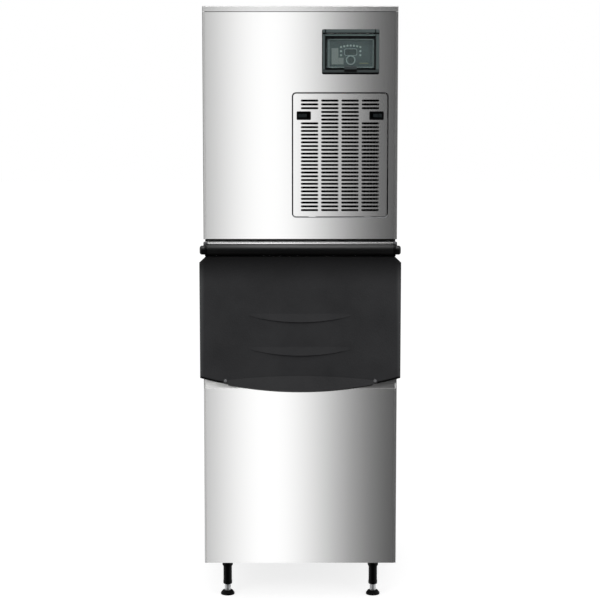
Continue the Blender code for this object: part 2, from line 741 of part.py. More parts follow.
def latch_pair(pivot):
    """Two black finger latches: a housing set into the grille, and a slide with its tongue."""
    z = GRILLE_HEIGHT - LATCH_DROP
    proud = SHEET
    deep = LATCH_RECESS + LATCH_WALL
    slot = TONGUE_HEIGHT + 2 * GAP
    tongue_far = deep - LATCH_WALL - GAP
    tongue_near = tongue_far - TONGUE_THICK
    inner = LATCH_WIDTH / 2 - 2 * LATCH_WALL
    for name, side in (("left", -1), ("right", 1)):
        x = side * LATCH_SPREAD
        flange = rounded(x, z, LATCH_WIDTH, LATCH_HEIGHT, LATCH_WALL, 2)
        housing = piece("latch_housing_" + name, prism(flange, "Y", -proud, -GAP), BLACK, 0.5, at=pivot)
        body = rounded(x, z, LATCH_WIDTH - 2 * LATCH_WALL, LATCH_HEIGHT - 2 * LATCH_WALL, LATCH_WALL, 1)
        boolean(housing, prism(body, "Y", -proud / 2 - GAP, deep), joined=True)
        pocket = rectangle(x - inner, z - LATCH_HEIGHT / 2 + 2 * LATCH_WALL,
                           x + inner, z + LATCH_HEIGHT / 2 - 2 * LATCH_WALL)
        boolean(housing, prism(pocket, "Y", -2 * proud, LATCH_RECESS))
        outside = x + side * LATCH_WIDTH
        boolean(housing, block(min(x, outside), tongue_near - GAP, z - slot / 2,
                               max(x, outside), tongue_far + GAP, z + slot / 2))
        strike = side * (GRILLE_WIDTH / 2 + GRILLE_CLEAR - GAP)
        finger = x + side * (inner - GAP)
        tail = finger - side * (2 * inner - 2 * GAP - LATCH_TRAVEL)
        tongue = block(min(tail, strike), tongue_near, z - TONGUE_HEIGHT / 2,
                       max(tail, strike), tongue_far, z + TONGUE_HEIGHT / 2)
        slide = piece("latch_slide_" + name, tongue, BLACK, 0.4, at=pivot)
        ridge = x + side * (inner - LATCH_TRAVEL)
        boolean(slide, block(min(finger, ridge), SHEET, z - TONGUE_HEIGHT / 2,
                             max(finger, ridge), tongue_far - TONGUE_THICK / 2, z + TONGUE_HEIGHT / 2),
                joined=True)


# Control window

def sleeve_rectangle(margin):
    """The window's way through the front panel, grown by margin."""
    grow = SLEEVE_WALL + margin
    half = WINDOW_WIDTH / 2 - WINDOW_SIDE + grow
    return (WINDOW_X - half, WINDOW_TOP - WINDOW_HEIGHT + WINDOW_BOTTOM_BAR - grow,
            WINDOW_X + half, WINDOW_TOP - WINDOW_TOP_BAR + grow)


def window_frame():
    """The moulded surround and the sleeve that passes through the front panel."""
    centre = WINDOW_TOP - WINDOW_HEIGHT / 2
    outline = rounded(WINDOW_X, centre, WINDOW_WIDTH, WINDOW_HEIGHT, WINDOW_ROUND, 2)
    face = HEAD_FACE_Y - WINDOW_PROUD
    body = prism(outline, "Y", face, HEAD_FACE_Y - GAP)
    softened(body, SHEET, 2, lambda a, b: max(a.y, b.y) < face + GAP)
    frame = piece("window_frame", body, (0.10, 0.125, 0.12), 0.35)
    sleeve = rectangle(*sleeve_rectangle(0.0))
    back = HEAD_FACE_Y + SLEEVE_DEPTH
    boolean(frame, prism(sleeve, "Y", HEAD_FACE_Y - WINDOW_PROUD / 2, back), joined=True)
    inside = rectangle(*sleeve_rectangle(-SLEEVE_WALL))
    boolean(frame, prism(inside, "Y", face - WINDOW_PROUD, back + WINDOW_PROUD))


def window_cover(pivot):
    """The clear splash cover that flips up; its origin is on its hinge line."""
    half = WINDOW_WIDTH / 2 - WINDOW_SIDE - COVER_SIDE_CLEAR
    low = WINDOW_TOP - WINDOW_HEIGHT + WINDOW_BOTTOM_BAR + COVER_BOTTOM_CLEAR - pivot[2]
    thick = COVER_THICK / 2
    sheet = block(-half, -thick, low, half, thick, 0)
    softened(sheet, SHEET / 2, 1, lambda a, b: max(a.y, b.y) < -thick + GAP)
    cover = piece("window_cover", sheet, (0.20, 0.24, 0.24), 0.1, at=pivot)
    end = half - GAP
    barrel = revolved([(0, -end), (COVER_BARREL, -end), (COVER_BARREL, end), (0, end)], 12, "X")
    boolean(cover, barrel, joined=True)
    pane = rounded(0, (low + PANE_MARGIN - PANE_TOP_MARGIN) / 2, 2 * (half - PANE_MARGIN),
                   -low - PANE_MARGIN - PANE_TOP_MARGIN, WINDOW_ROUND, 2)
    boolean(cover, prism(pane, "Y", -thick - PANE_RISE, 0), joined=True)
    back = -thick - GAP
    catch = block(-CATCH_WIDTH / 2, back - CATCH_THICK, low - CATCH_HEIGHT + 2 * COVER_BOTTOM_CLEAR,
                  CATCH_WIDTH / 2, back, low + PANE_MARGIN - GAP)
    softened(catch, SHEET, 2, lambda a, b: max(a.y, b.y) < back - CATCH_THICK + GAP)
    piece("cover_catch", catch, BLACK, 0.4, at=pivot)


def control_plate():
    """The panel behind the cover, with its lamps and the raised ring round the button."""
    x0, z0, x1, z1 = sleeve_rectangle(-SLEEVE_WALL - GAP)
    front = HEAD_FACE_Y + PLATE_SET_BACK
    button_z = WINDOW_TOP - BUTTON_DROP
    button_x = WINDOW_X + BUTTON_X
    sheet = prism(rectangle(x0, z0, x1, z1), "Y", front, front + PLATE_THICK)
    plate = piece("control_plate", sheet, (0.05, 0.065, 0.068), 0.4)
    sunk = front + PLATE_THICK / 2
    boolean(plate, prism(round_outline(button_x, button_z, BEZEL_RADIUS, 20), "Y", front - BEZEL_RISE, sunk),
            joined=True)
    recess = round_outline(button_x, button_z, BEZEL_RADIUS - BEZEL_WIDTH, 20)
    boolean(plate, prism(recess, "Y", front - PLATE_THICK, front + GAP / 2))
    hole = round_outline(button_x, button_z, BUTTON_RADIUS + GAP, 20)
    boolean(plate, prism(hole, "Y", front - PLATE_THICK, front + 2 * PLATE_THICK))
    for x, z in lamp_places():
        lamp = prism(round_outline(x, z, LAMP_RADIUS, 6), "Y", front - LAMP_RISE, sunk)
        boolean(plate, lamp, joined=True)
    lens = rounded(button_x, WINDOW_TOP - LENS_DROP, LENS_WIDTH, LENS_HEIGHT, WINDOW_ROUND, 3)
    piece("display_lens", prism(lens, "Y", front - GAP - LENS_THICK, front - GAP), (0.02, 0.03, 0.035), 0.08)


def lamp_places():
    """A shallow arc of lamps above the display, and more down each side."""
    places = []
    centre = WINDOW_X + BUTTON_X
    top = WINDOW_TOP - LAMP_ROW_DROP
    for index in range(LAMP_ROW_COUNT):
        share = 2 * index / (LAMP_ROW_COUNT - 1) - 1
        places.append((centre + share * LAMP_ROW_HALF, top - LAMP_ROW_RISE * share * share))
    for drop in LAMP_SIDE_DROPS:
        for side in (-1, 1):
            places.append((centre + side * LAMP_ROW_HALF, WINDOW_TOP - drop))
    return places


def control_button():
    """The round push button; it slides straight back."""
    place = (WINDOW_X + BUTTON_X, HEAD_FACE_Y + PLATE_SET_BACK, WINDOW_TOP - BUTTON_DROP)
    back = BUTTON_LENGTH - BUTTON_PROUD
    edge = SHEET
    profile = [(0, -BUTTON_PROUD), (BUTTON_RADIUS - edge, -BUTTON_PROUD),
               (BUTTON_RADIUS, edge - BUTTON_PROUD), (BUTTON_RADIUS, back), (0, back)]
    piece("control_button", revolved(profile, 20, "Y"), (0.08, 0.09, 0.09), 0.35, at=place)


# Condenser, fan and compressor

def condenser():
    """The finned coil on its two end plates, with copper return bends."""
    near = at_reach(CONDENSER_REACH)
    far = near + CONDENSER_DEPTH
    left = GRILLE_X - CONDENSER_HALF
    pitch = 2 * CONDENSER_HALF / FIN_COUNT
    outline = [(left + 2 * CONDENSER_HALF, far), (left, far)]
    for fin in range(FIN_COUNT):
        x = left + fin * pitch + (pitch - FIN_THICK) / 2 * (fin > 0)
        end = x + FIN_THICK
        outline += [(x, near), (end, near)]
        if fin < FIN_COUNT - 1:
            after = left + (fin + 1) * pitch + (pitch - FIN_THICK) / 2
            outline += [(end, near + FIN_DEEP), (after, near + FIN_DEEP)]
    last = outline[-1]
    outline[-1] = (left + 2 * CONDENSER_HALF, last[1])
    coil = piece("condenser", prism(outline, "Z", CONDENSER_LOW, CONDENSER_TOP), (0.7, 0.7, 0.7), 0.4, 1.0)
    for side in (-1, 1):
        x = GRILLE_X + side * (CONDENSER_HALF - SHEET / 2)
        plate = block(min(x, x + side * SHEET), near + SHEET, FLOOR_OF_HEAD + GAP, max(x, x + side * SHEET),
                      far - SHEET, CONDENSER_TOP - SHEET)
        boolean(coil, plate, joined=True)
        for index in range(BEND_COUNT):
            z = CONDENSER_LOW + CONDENSER_HEIGHT * (index + 0.5) / BEND_COUNT
            bend = return_bend(side, GRILLE_X + side * CONDENSER_HALF, (near + far) / 2, z)
            boolean(coil, bend, joined=True)


def return_bend(side, x, y, z):
    """A half ring of tube that joins two passes of the coil, one above the other."""
    bm = bmesh.new()
    ring = bmesh.ops.create_circle(bm, segments=6, radius=TUBE_RADIUS, cap_ends=True,
                                   matrix=Matrix.Translation((0, 0, TUBE_SPACING / 2))
                                   @ Matrix.Rotation(math.pi / 2, 4, "Y"))
    faces = bm.faces[:]
    bmesh.ops.spin(bm, geom=faces + ring["verts"] + bm.edges[:], cent=(0, 0, 0), axis=(0, side, 0),
                   angle=math.pi, steps=5, use_merge=False)
    bmesh.ops.remove_doubles(bm, verts=bm.verts, dist=1e-6)
    bmesh.ops.recalc_face_normals(bm, faces=bm.faces)
    return moved(bm, x, y, z)


def fan_shroud():
    """A duct behind the coil with a ring round the fan and a strap that carries its motor."""
    near = at_reach(CONDENSER_REACH) + CONDENSER_DEPTH + GAP
    back = near + SHROUD_DEPTH
    left, right = GRILLE_X - CONDENSER_HALF, GRILLE_X + CONDENSER_HALF
    duct = piece("fan_shroud", block(left, near, CONDENSER_LOW, right, back, CONDENSER_TOP), BLACK, 0.6)
    boolean(duct, block(left + SHROUD_WALL, near - SHROUD_WALL, CONDENSER_LOW + SHROUD_WALL,
                        right - SHROUD_WALL, back - SHROUD_WALL, CONDENSER_TOP - SHROUD_WALL))
    ring = round_outline(GRILLE_X, FAN_Z, FAN_RING_RADIUS + SHROUD_WALL, 32)
    boolean(duct, prism(ring, "Y", back - SHROUD_WALL / 2, back + FAN_RING_DEPTH), joined=True)
    throat = round_outline(GRILLE_X, FAN_Z, FAN_RING_RADIUS, 32)
    boolean(duct, prism(throat, "Y", near + SHROUD_WALL, back + FAN_RING_DEPTH + SHROUD_WALL))
    inner = motor_rear() + GAP
    half = CONDENSER_HALF - SHROUD_WALL
    path = [(GRILLE_X - half, back - SHROUD_WALL / 2), (GRILLE_X - half, inner + STRAP_THICK),
            (GRILLE_X + half, inner + STRAP_THICK), (GRILLE_X + half, back - SHROUD_WALL / 2)]
    strap = folded(path[::-1], STRAP_THICK, 2 * STRAP_THICK, 2)
    boolean(duct, prism(strap, "Z", FAN_Z - STRAP_HEIGHT / 2, FAN_Z + STRAP_HEIGHT / 2), joined=True)


def fan_plane():
    """The y of the middle of the fan's hub."""
    return at_reach(CONDENSER_REACH) + CONDENSER_DEPTH + GAP + SHROUD_DEPTH


def motor_rear():
    return fan_plane() + HUB_LENGTH / 2 + SHEET + MOTOR_LENGTH


def fan_and_motor():
    """Pitched blades on a hub that turns on the motor's shaft."""
    centre = (GRILLE_X, fan_plane(), FAN_Z)
    front = -HUB_LENGTH / 2
    bore = SHAFT_RADIUS + GAP
    rear = HUB_LENGTH / 2
    profile = [(0, front), (HUB_RADIUS - SHEET, front), (HUB_RADIUS, front + SHEET), (HUB_RADIUS, rear),
               (bore, rear), (bore, rear - SHAFT_LENGTH + SHEET), (0, rear - SHAFT_LENGTH + SHEET)]
    fan = piece("fan_blade", revolved(profile, 20, "Y"), (0.55, 0.56, 0.57), 0.4, 0.8, at=centre)
    for index in range(FAN_BLADES):
        outline = [(across * BLADE_WIDTH, out * FAN_RADIUS) for across, out in BLADE_SHAPE]
        blade = prism(outline, "Y", -BLADE_THICK / 2, BLADE_THICK / 2)
        round_hub = Matrix.Rotation(index * 2 * math.pi / FAN_BLADES, 3, "Y")
        pitched = Matrix.Rotation(BLADE_PITCH, 3, "Z")
        bmesh.ops.rotate(blade, cent=(0, 0, 0), matrix=round_hub @ pitched, verts=blade.verts)
        boolean(fan, blade, joined=True)
    start = fan_plane() + rear + SHEET
    shoulder = MOTOR_RADIUS - MOTOR_EDGE
    body = [(0, -SHAFT_LENGTH), (SHAFT_RADIUS, -SHAFT_LENGTH), (SHAFT_RADIUS, 0), (shoulder, 0),
            (MOTOR_RADIUS, MOTOR_EDGE), (MOTOR_RADIUS, MOTOR_LENGTH - MOTOR_EDGE), (shoulder, MOTOR_LENGTH),
            (0, MOTOR_LENGTH)]
    piece("fan_motor", moved(revolved(body, 20, "Y"), GRILLE_X, start, FAN_Z), (0.05, 0.05, 0.055), 0.5, 0.3)


def compressor():
    """A welded can with a domed top and a seam, on a foot plate with rubber grommets."""
    y = at_reach(COMPRESSOR_REACH)
    low = FLOOR_OF_HEAD + GAP
    foot = low + COMPRESSOR_STAND
    seam = foot + SEAM_HEIGHT
    radius = COMPRESSOR_RADIUS
    profile = [(across * radius, foot + up * radius) for across, up in CAN_FOOT_SHAPE]
    profile += [(radius, seam - SEAM_RISE), (radius + SEAM_RISE, seam - SEAM_RISE),
                (radius + SEAM_RISE, seam + SEAM_RISE), (radius, seam + SEAM_RISE)]
    dome = foot + COMPRESSOR_HEIGHT
    start = seam + 2 * SEAM_RISE
    for step in range(1, DOME_STEPS + 1):
        angle = math.pi / 2 * step / DOME_STEPS
        profile.append((radius * math.cos(angle), start + (dome - start) * math.sin(angle)))
    profile[-1] = (0, dome)
    can = piece("compressor", moved(revolved(profile, 18), COMPRESSOR_X, y, 0), (0.015, 0.015, 0.016), 0.35)
    plate = rounded(COMPRESSOR_X, y, 2 * FOOT_PLATE_HALF, 2 * FOOT_PLATE_HALF, GROMMET_RADIUS, 3)
    boolean(can, prism(plate, "Z", foot - FOOT_PLATE_THICK / 2, foot + FOOT_PLATE_THICK), joined=True)
    for side in (-1, 1):
        for end in (-1, 1):
            grommet = round_outline(COMPRESSOR_X + side * GROMMET_OFFSET, y + end * GROMMET_OFFSET,
                                    GROMMET_RADIUS, 8)
            boolean(can, prism(grommet, "Z", low, foot), joined=True)


def copper_lines():
    """The discharge line to the coil, the liquid line with its drier, and the suction line."""
    far = at_reach(COMPRESSOR_REACH)
    dome = FLOOR_OF_HEAD + GAP + COMPRESSOR_STAND + COMPRESSOR_HEIGHT + GAP
    high = lines_high()
    coil_y = at_reach(CONDENSER_REACH) + CONDENSER_DEPTH - (CONDENSER_DEPTH - FIN_DEEP) / 2
    route = [(COMPRESSOR_X, far, dome), (COMPRESSOR_X, far, high), (COMPRESSOR_X, coil_y, high),
             (COMPRESSOR_X, coil_y, CONDENSER_TOP + GAP)]
    pipe("discharge_line", route, LINE_RADIUS, LINE_BEND, COPPER)
    z = EVAPORATOR_TOP - SUCTION_DROP
    back = at_reach(EVAPORATOR_REACH) + EVAPORATOR_THICK + GAP
    side = COMPRESSOR_X - COMPRESSOR_RADIUS - GAP
    down = (DIVIDER_X + side) / 2
    inlet = FLOOR_OF_HEAD + COMPRESSOR_STAND + SUCTION_INLET_HEIGHT
    port = GRILLE_X - CONDENSER_HALF + LIQUID_PORT
    entry = ZONE_X + LIQUID_SIDE
    low = EVAPORATOR_TOP - LIQUID_DROP
    rear = liquid_rear()
    middle = (coil_y + rear) / 2
    stations = ((-DRIER_HALF - DRIER_SHOULDER, 1.0), (-DRIER_HALF, DRIER_SCALE),
                (DRIER_HALF, DRIER_SCALE), (DRIER_HALF + DRIER_SHOULDER, 1.0))
    drier = [((port, middle + offset, high), scale) for offset, scale in stations]
    route = [(port, coil_y, CONDENSER_TOP + GAP), (port, coil_y, high), (port, rear, high),
             (entry, rear, high), (entry, rear, low), (entry, back, low)]
    pipe("liquid_line", route, LINE_RADIUS, LINE_BEND, COPPER, wider=drier)
    pipe("suction_line", [(ZONE_X, back, z), (ZONE_X, far, z), (down, far, z), (down, far, inlet),
                          (side, far, inlet)], LINE_RADIUS, LINE_BEND, COPPER)


def lines_high():
    """The height at which the lines cross above the coil."""
    return CONDENSER_TOP + DISCHARGE_ABOVE


def liquid_rear():
    """The y of the liquid line's run behind the evaporator."""
    return at_reach(EVAPORATOR_REACH) + EVAPORATOR_THICK + LIQUID_CLEAR


# Ice-making side

def evaporator_plate():
    """The vertical ice grid: rows of pockets in which the cubes freeze."""
    bm = bmesh.new()
    half = EVAPORATOR_WIDTH / 2
    near = at_reach(EVAPORATOR_REACH)
    grid = bmesh.ops.create_grid(bm, x_segments=CELL_COLUMNS, y_segments=CELL_ROWS, size=1)
    bmesh.ops.rotate(bm, cent=(0, 0, 0), matrix=Matrix.Rotation(math.pi / 2, 3, "X"), verts=grid["verts"])
    bmesh.ops.scale(bm, vec=(half, 1, EVAPORATOR_HEIGHT / 2), verts=grid["verts"])
    cells = bm.faces[:]
    swept(bm, cells, (0, EVAPORATOR_THICK, 0))
    fronts = [face for face in bm.faces if max(vert.co.y for vert in face.verts) < GAP]
    bmesh.ops.inset_individual(bm, faces=fronts, thickness=CELL_RIM / 2, use_even_offset=True)
    pockets = bmesh.ops.extrude_discrete_faces(bm, faces=fronts)["faces"]
    floor = {vert for face in pockets for vert in face.verts}
    bmesh.ops.translate(bm, vec=(0, CELL_DEEP, 0), verts=list(floor))
    bmesh.ops.recalc_face_normals(bm, faces=bm.faces)
    moved(bm, ZONE_X, near, (EVAPORATOR_LOW + EVAPORATOR_TOP) / 2)
    plate = piece("evaporator_plate", bm, (0.74, 0.70, 0.66), 0.3, 1.0)
    back = near + EVAPORATOR_THICK
    boolean(plate, block(WALL_LEFT, back - EVAPORATOR_FLANGE, EVAPORATOR_LOW + CELL_RIM,
                         WALL_RIGHT, back - EVAPORATOR_FLANGE / 3, EVAPORATOR_TOP - CELL_RIM), joined=True)


def water_curtain(pivot):
    """The hinged plastic curtain in front of the ice; its origin is on its pin."""
    half = CURTAIN_WIDTH / 2
    ends = (WALL_LEFT - ZONE_X, WALL_RIGHT - ZONE_X)
    pin = revolved([(0, ends[0]), (CURTAIN_PIN, ends[0]), (CURTAIN_PIN, ends[1]), (0, ends[1])], 10, "X")
    curtain = piece("water_curtain", pin, (0.72, 0.76, 0.78), 0.3, at=pivot)
    sheet = block(-half, -CURTAIN_THICK / 2, -CURTAIN_LENGTH, half, CURTAIN_THICK / 2, 0)
    boolean(curtain, sheet, joined=True)
    for side in (-1, 1):
        rib = side * (half - 2 * CURTAIN_THICK)
        boolean(curtain, block(rib - CURTAIN_THICK / 2, -2 * CURTAIN_THICK, -CURTAIN_LENGTH + CURTAIN_THICK,
                               rib + CURTAIN_THICK / 2, 0, -2 * CURTAIN_THICK), joined=True)


def water_parts():
    """The trough, the pump beside it, its riser and the distributor over the ice grid."""
    far_wall = at_reach(-TROUGH_FAR)
    low = HEAD_BOTTOM + TROUGH_BOTTOM
    path = [(at_reach(-TROUGH_NEAR), low + TROUGH_HEIGHT), (at_reach(-TROUGH_NEAR), low),
            (far_wall, low), (far_wall, low + TROUGH_HEIGHT)]
    channel = folded(path, TROUGH_WALL, 3 * TROUGH_WALL, 3)
    trough = piece("water_trough", prism(channel, "X", WALL_LEFT, WALL_RIGHT), WHITE, 0.4)
    near_y, far_y = at_reach(-TROUGH_NEAR) + TROUGH_WALL / 2, far_wall - TROUGH_WALL / 2
    for x in (WALL_LEFT + SHEET, WALL_RIGHT - SHEET - TROUGH_WALL):
        boolean(trough, block(x, near_y, low + TROUGH_WALL / 2, x + TROUGH_WALL, far_y,
                              low + TROUGH_HEIGHT - TROUGH_WALL), joined=True)
    pump_y = at_reach(PUMP_REACH)
    volute = low + TROUGH_WALL
    profile = [(0, FLOOR_OF_HEAD + GAP), (PUMP_RADIUS, FLOOR_OF_HEAD + GAP), (PUMP_RADIUS, volute),
               (PUMP_VOLUTE_RADIUS, volute), (PUMP_VOLUTE_RADIUS, volute + PUMP_VOLUTE_HEIGHT),
               (0, volute + PUMP_VOLUTE_HEIGHT)]
    pump = piece("water_pump", moved(revolved(profile, 20), PUMP_X, pump_y, 0), (0.03, 0.04, 0.07), 0.5)
    nozzle = round_outline(PUMP_X, volute + PUMP_VOLUTE_HEIGHT / 2, PUMP_NOZZLE_RADIUS, 12)
    boolean(pump, prism(nozzle, "Y", far_wall + GAP, pump_y), joined=True)
    tube_y = at_reach(EVAPORATOR_REACH) + EVAPORATOR_THICK / 2
    tube_z = EVAPORATOR_TOP + GAP + DISTRIBUTOR_RADIUS
    ends = [(0, WALL_LEFT), (DISTRIBUTOR_RADIUS, WALL_LEFT),
            (DISTRIBUTOR_RADIUS, WALL_RIGHT), (0, WALL_RIGHT)]
    piece("water_distributor", moved(revolved(ends, 16, "X"), 0, tube_y, tube_z), WHITE, 0.4)
    pipe("pump_riser", [(PUMP_X, pump_y, volute + PUMP_VOLUTE_HEIGHT + GAP), (PUMP_X, pump_y, tube_z),
                        (PUMP_X, tube_y + DISTRIBUTOR_RADIUS + GAP, tube_z)], RISER_RADIUS, 3 * RISER_RADIUS,
         (0.75, 0.78, 0.80), 0.3, 0.0)


def service_parts():
    """The water valve and the cable gland on the back, and the box of electrical parts."""
    z = HEAD_BOTTOM + VALVE_ABOVE_BASE
    inside = HEAD_REAR_Y - SHEET - GAP
    body = block(VALVE_X - VALVE_BODY / 2, inside - VALVE_BODY, z - VALVE_BODY / 2,
                 VALVE_X + VALVE_BODY / 2, inside, z + VALVE_BODY / 2)
    valve = piece("water_inlet_valve", body, (0.60, 0.50, 0.28), 0.4, 0.8)
    boolean(valve, prism(round_outline(VALVE_X, z, STUB_RADIUS, 16), "Y", inside - STUB_OUT,
                         HEAD_REAR_Y + STUB_OUT), joined=True)
    z = HEAD_BOTTOM + GLAND_ABOVE_BASE
    tip = HEAD_REAR_Y + GLAND_OUT
    profile = [(0, inside - STUB_OUT), (GLAND_NUT_RADIUS, inside - STUB_OUT), (GLAND_NUT_RADIUS, inside),
               (GLAND_RADIUS, inside), (GLAND_RADIUS, tip - GLAND_TAPER), (GLAND_TIP_RADIUS, tip),
               (GLAND_BORE, tip), (GLAND_BORE, inside), (0, inside)]
    piece("cable_gland", moved(revolved(profile, 16, "Y"), GLAND_X, 0, z), BLACK, 0.5)
    top = HEAD_TOP - BOX_DROP
    near = at_reach(BOX_REACH)
    box = block(BOX_LEFT, near, top - BOX_HEIGHT, INNER_RIGHT, near + BOX_DEPTH, top)
    softened(box, 2 * SHEET, 1, upright)
    piece("electrical_box", box, GALVANISED, 0.4, 1.0)


# Bin

def on_slant(s, inward):
    """(y, z) of a point in the door's frame: s down the face, inward towards the bin."""
    forward = HINGE_REACH + s * math.sin(DOOR_SLANT) - inward * math.cos(DOOR_SLANT)
    return at_reach(forward), HINGE_Z - s * math.cos(DOOR_SLANT) - inward * math.sin(DOOR_SLANT)


def slant_at(reach, inward):
    """(y, z) where a plane parallel to the door, set inward, reaches forward that far."""
    s = (reach - HINGE_REACH + inward * math.cos(DOOR_SLANT)) / math.sin(DOOR_SLANT)
    return on_slant(s, inward)


def bin_profile(inset, slant):
    """The bin seen from its side, with its walls moved in by inset and its front at the slant plane."""
    rear = HEAD_REAR_Y - inset
    front = at_reach(BIN_FRONT_REACH - inset)
    low, high = LEG_HEIGHT + inset, BIN_TOP - inset
    return [(rear, low), (front, low), (front, slant_at(BIN_FRONT_REACH - inset, slant)[1]),
            (at_reach(-inset), slant_at(-inset, slant)[1]), (at_reach(-inset), high), (rear, high)]


def bin_side(name, side):
    """A side panel with a narrow flange turned round onto the front."""
    outer = side * BIN_HALF
    inner = side * (BIN_HALF - SHEET)
    sheet = prism(bin_profile(0, RIM_PLANE), "X", min(outer, inner), max(outer, inner))
    panel = piece(name, sheet, STEEL, 0.3, 1.0)
    bend = slant_at(BIN_FRONT_REACH, RIM_PLANE)[1]
    edge = side * (BIN_HALF - BIN_FLANGE)
    half_sheet = side * (BIN_HALF - SHEET / 2)
    face = at_reach(BIN_FRONT_REACH)
    flange = block(min(edge, half_sheet), face, LEG_HEIGHT + SHEET,
                   max(edge, half_sheet), face + SHEET, bend - BEND)
    boolean(panel, flange, joined=True)


def bin_panels():
    """The front, rear and bottom sheets, and the deck that carries the head."""
    wide = BIN_HALF - SHEET - GAP
    face = at_reach(BIN_FRONT_REACH)
    bend = slant_at(BIN_FRONT_REACH, RIM_PLANE)
    rim = (bend[0] + RIM_FLANGE * math.sin(DOOR_SLANT), bend[1] + RIM_FLANGE * math.cos(DOOR_SLANT))
    front = folded([rim, bend, (face, LEG_HEIGHT)])
    half = BIN_HALF - BIN_FLANGE - GAP
    piece("bin_front_panel", prism(front, "X", -half, half), STEEL, 0.3, 1.0)
    rear = block(-wide, HEAD_REAR_Y - SHEET, LEG_HEIGHT, wide, HEAD_REAR_Y, BIN_TOP - SHEET - GAP)
    piece("bin_rear_panel", rear, GALVANISED, 0.4, 1.0)
    drain = round_outline(0, drain_y(), DRAIN_RADIUS + GAP, 16)
    floor = pierced(rectangle(-wide, face + SHEET + GAP, wide, HEAD_REAR_Y - SHEET - GAP), [drain], "Z",
                    LEG_HEIGHT, LEG_HEIGHT + SHEET)
    piece("bin_bottom_panel", floor, GALVANISED, 0.4, 1.0)
    top = folded([(HEAD_REAR_Y, BIN_TOP), (HEAD_FACE_Y, BIN_TOP), (HEAD_FACE_Y, BIN_TOP - DECK_FLANGE)],
                 bend=DECK_BEND, steps=5)
    deck = piece("bin_top_deck", prism(top, "X", -wide, wide), STEEL, 0.3, 1.0)
    boolean(deck, drop_cutter(BIN_TOP - 4 * SHEET, BIN_TOP + SHEET, 0.0))


def drain_y():
    return HEAD_REAR_Y - DRAIN_INSET


def bin_liner():
    """The moulded, foam-backed tub with its mouth, the ice's way in and the drain hole."""
    inset = SHEET + GAP
    wide = BIN_HALF - inset
    shell = prism(bin_profile(inset, RIM_PLANE + inset), "X", -wide, wide)
    softened(shell, DECK_BEND, 3, under_deck_bend)
    tub = piece("bin_liner", shell, WHITE, 0.5)
    cavity = prism(bin_profile(inset + FOAM, RIM_PLANE + inset + FOAM), "X", -wide + FOAM, wide - FOAM)
    softened(cavity, CAVITY_ROUND, 1, lengthwise)
    boolean(tub, cavity)
    boolean(tub, drop_cutter(BIN_TOP - 2 * FOAM, BIN_TOP + SHEET, SHEET))
    through = RIM_PLANE + 3 * FOAM / 2
    path = [on_slant(MOUTH_TOP, 0), on_slant(MOUTH_BOTTOM, 0), on_slant(MOUTH_BOTTOM, through),
            on_slant(MOUTH_TOP, through)]
    boolean(tub, prism(path, "X", -MOUTH_HALF, MOUTH_HALF))
    hole = round_outline(0, drain_y(), DRAIN_RADIUS + GAP, 16)
    boolean(tub, prism(hole, "Z", LEG_HEIGHT, LEG_HEIGHT + 2 * FOAM))


def under_deck_bend(a, b):
    """Whether the edge from a to b lies under the bend at the deck's front."""
    at_top = min(a.z, b.z) > BIN_TOP - 2 * SHEET
    return lengthwise(a, b) and at_top and max(a.y, b.y) < HEAD_FACE_Y + 2 * SHEET


def mouth_trim(hinge):
    """The plastic rim round the mouth, on which the door closes."""
    outline = rounded(0, -(TRIM_TOP + TRIM_BOTTOM) / 2, 2 * TRIM_HALF, TRIM_BOTTOM - TRIM_TOP, 3 * SHEET, 2)
    opening = rounded(0, -(MOUTH_TOP + MOUTH_BOTTOM) / 2, 2 * MOUTH_HALF, MOUTH_BOTTOM - MOUTH_TOP,
                      CAVITY_ROUND / 2, 3)
    ring = pierced(outline, [opening], "Y", TRIM_FACE, TRIM_FACE + TRIM_HEIGHT)
    piece("mouth_trim", ring, BLACK, 0.5, parent=hinge)


def bin_drain():
    """The outlet from the bottom of the tub down through the bin's floor."""
    floor = LEG_HEIGHT + SHEET + GAP + FOAM
    bore = DRAIN_RADIUS - DRAIN_WALL
    outlet = LEG_HEIGHT - DRAIN_BELOW
    under = floor + GAP
    profile = [(bore, outlet), (DRAIN_RADIUS, outlet), (DRAIN_RADIUS, under), (DRAIN_FLANGE, under),
               (DRAIN_FLANGE, under + DRAIN_WALL), (bore, under + DRAIN_WALL)]
    piece("bin_drain", moved(revolved(profile, 16, closed=True), 0, drain_y(), 0), WHITE, 0.5)


def hinge_cap(name, side):
    """A round cap on an arm beside the bin; the door roll's pin turns in it."""
    inner = BIN_HALF + GAP
    outer = inner + CAP_LENGTH
    y = at_reach(HINGE_REACH)
    bore = PIN_RADIUS + GAP
    deep = inner + PIN_LENGTH
    profile = [(0, deep), (bore, deep), (bore, inner), (CAP_RADIUS, inner), (CAP_RADIUS, outer - CAP_ROUND)]
    for step in range(1, 4):
        angle = math.radians(30 * step)
        profile.append((CAP_RADIUS - CAP_ROUND * (1 - math.cos(angle)),
                        outer - CAP_ROUND * (1 - math.sin(angle))))
    profile.append((0, outer))
    cap_mesh = revolved(profile, 16, "X")
    if side < 0:
        bmesh.ops.scale(cap_mesh, vec=(-1, 1, 1), verts=cap_mesh.verts)
        bmesh.ops.reverse_faces(cap_mesh, faces=cap_mesh.faces)
    cap = piece(name, moved(cap_mesh, 0, y, HINGE_Z), BLACK, 0.35)
    near, far = sorted((side * inner, side * (inner + CAP_ARM_THICK)))
    clear = CAP_RADIUS - 2 * SHEET
    boolean(cap, block(near, y + clear, HINGE_Z - CAP_ARM_HEIGHT / 2, far, y + clear + CAP_ARM_LENGTH,
                       HINGE_Z + CAP_ARM_HEIGHT / 2), joined=True)


# Door, measured in the hinge's frame: -Y outward, -Z down the face

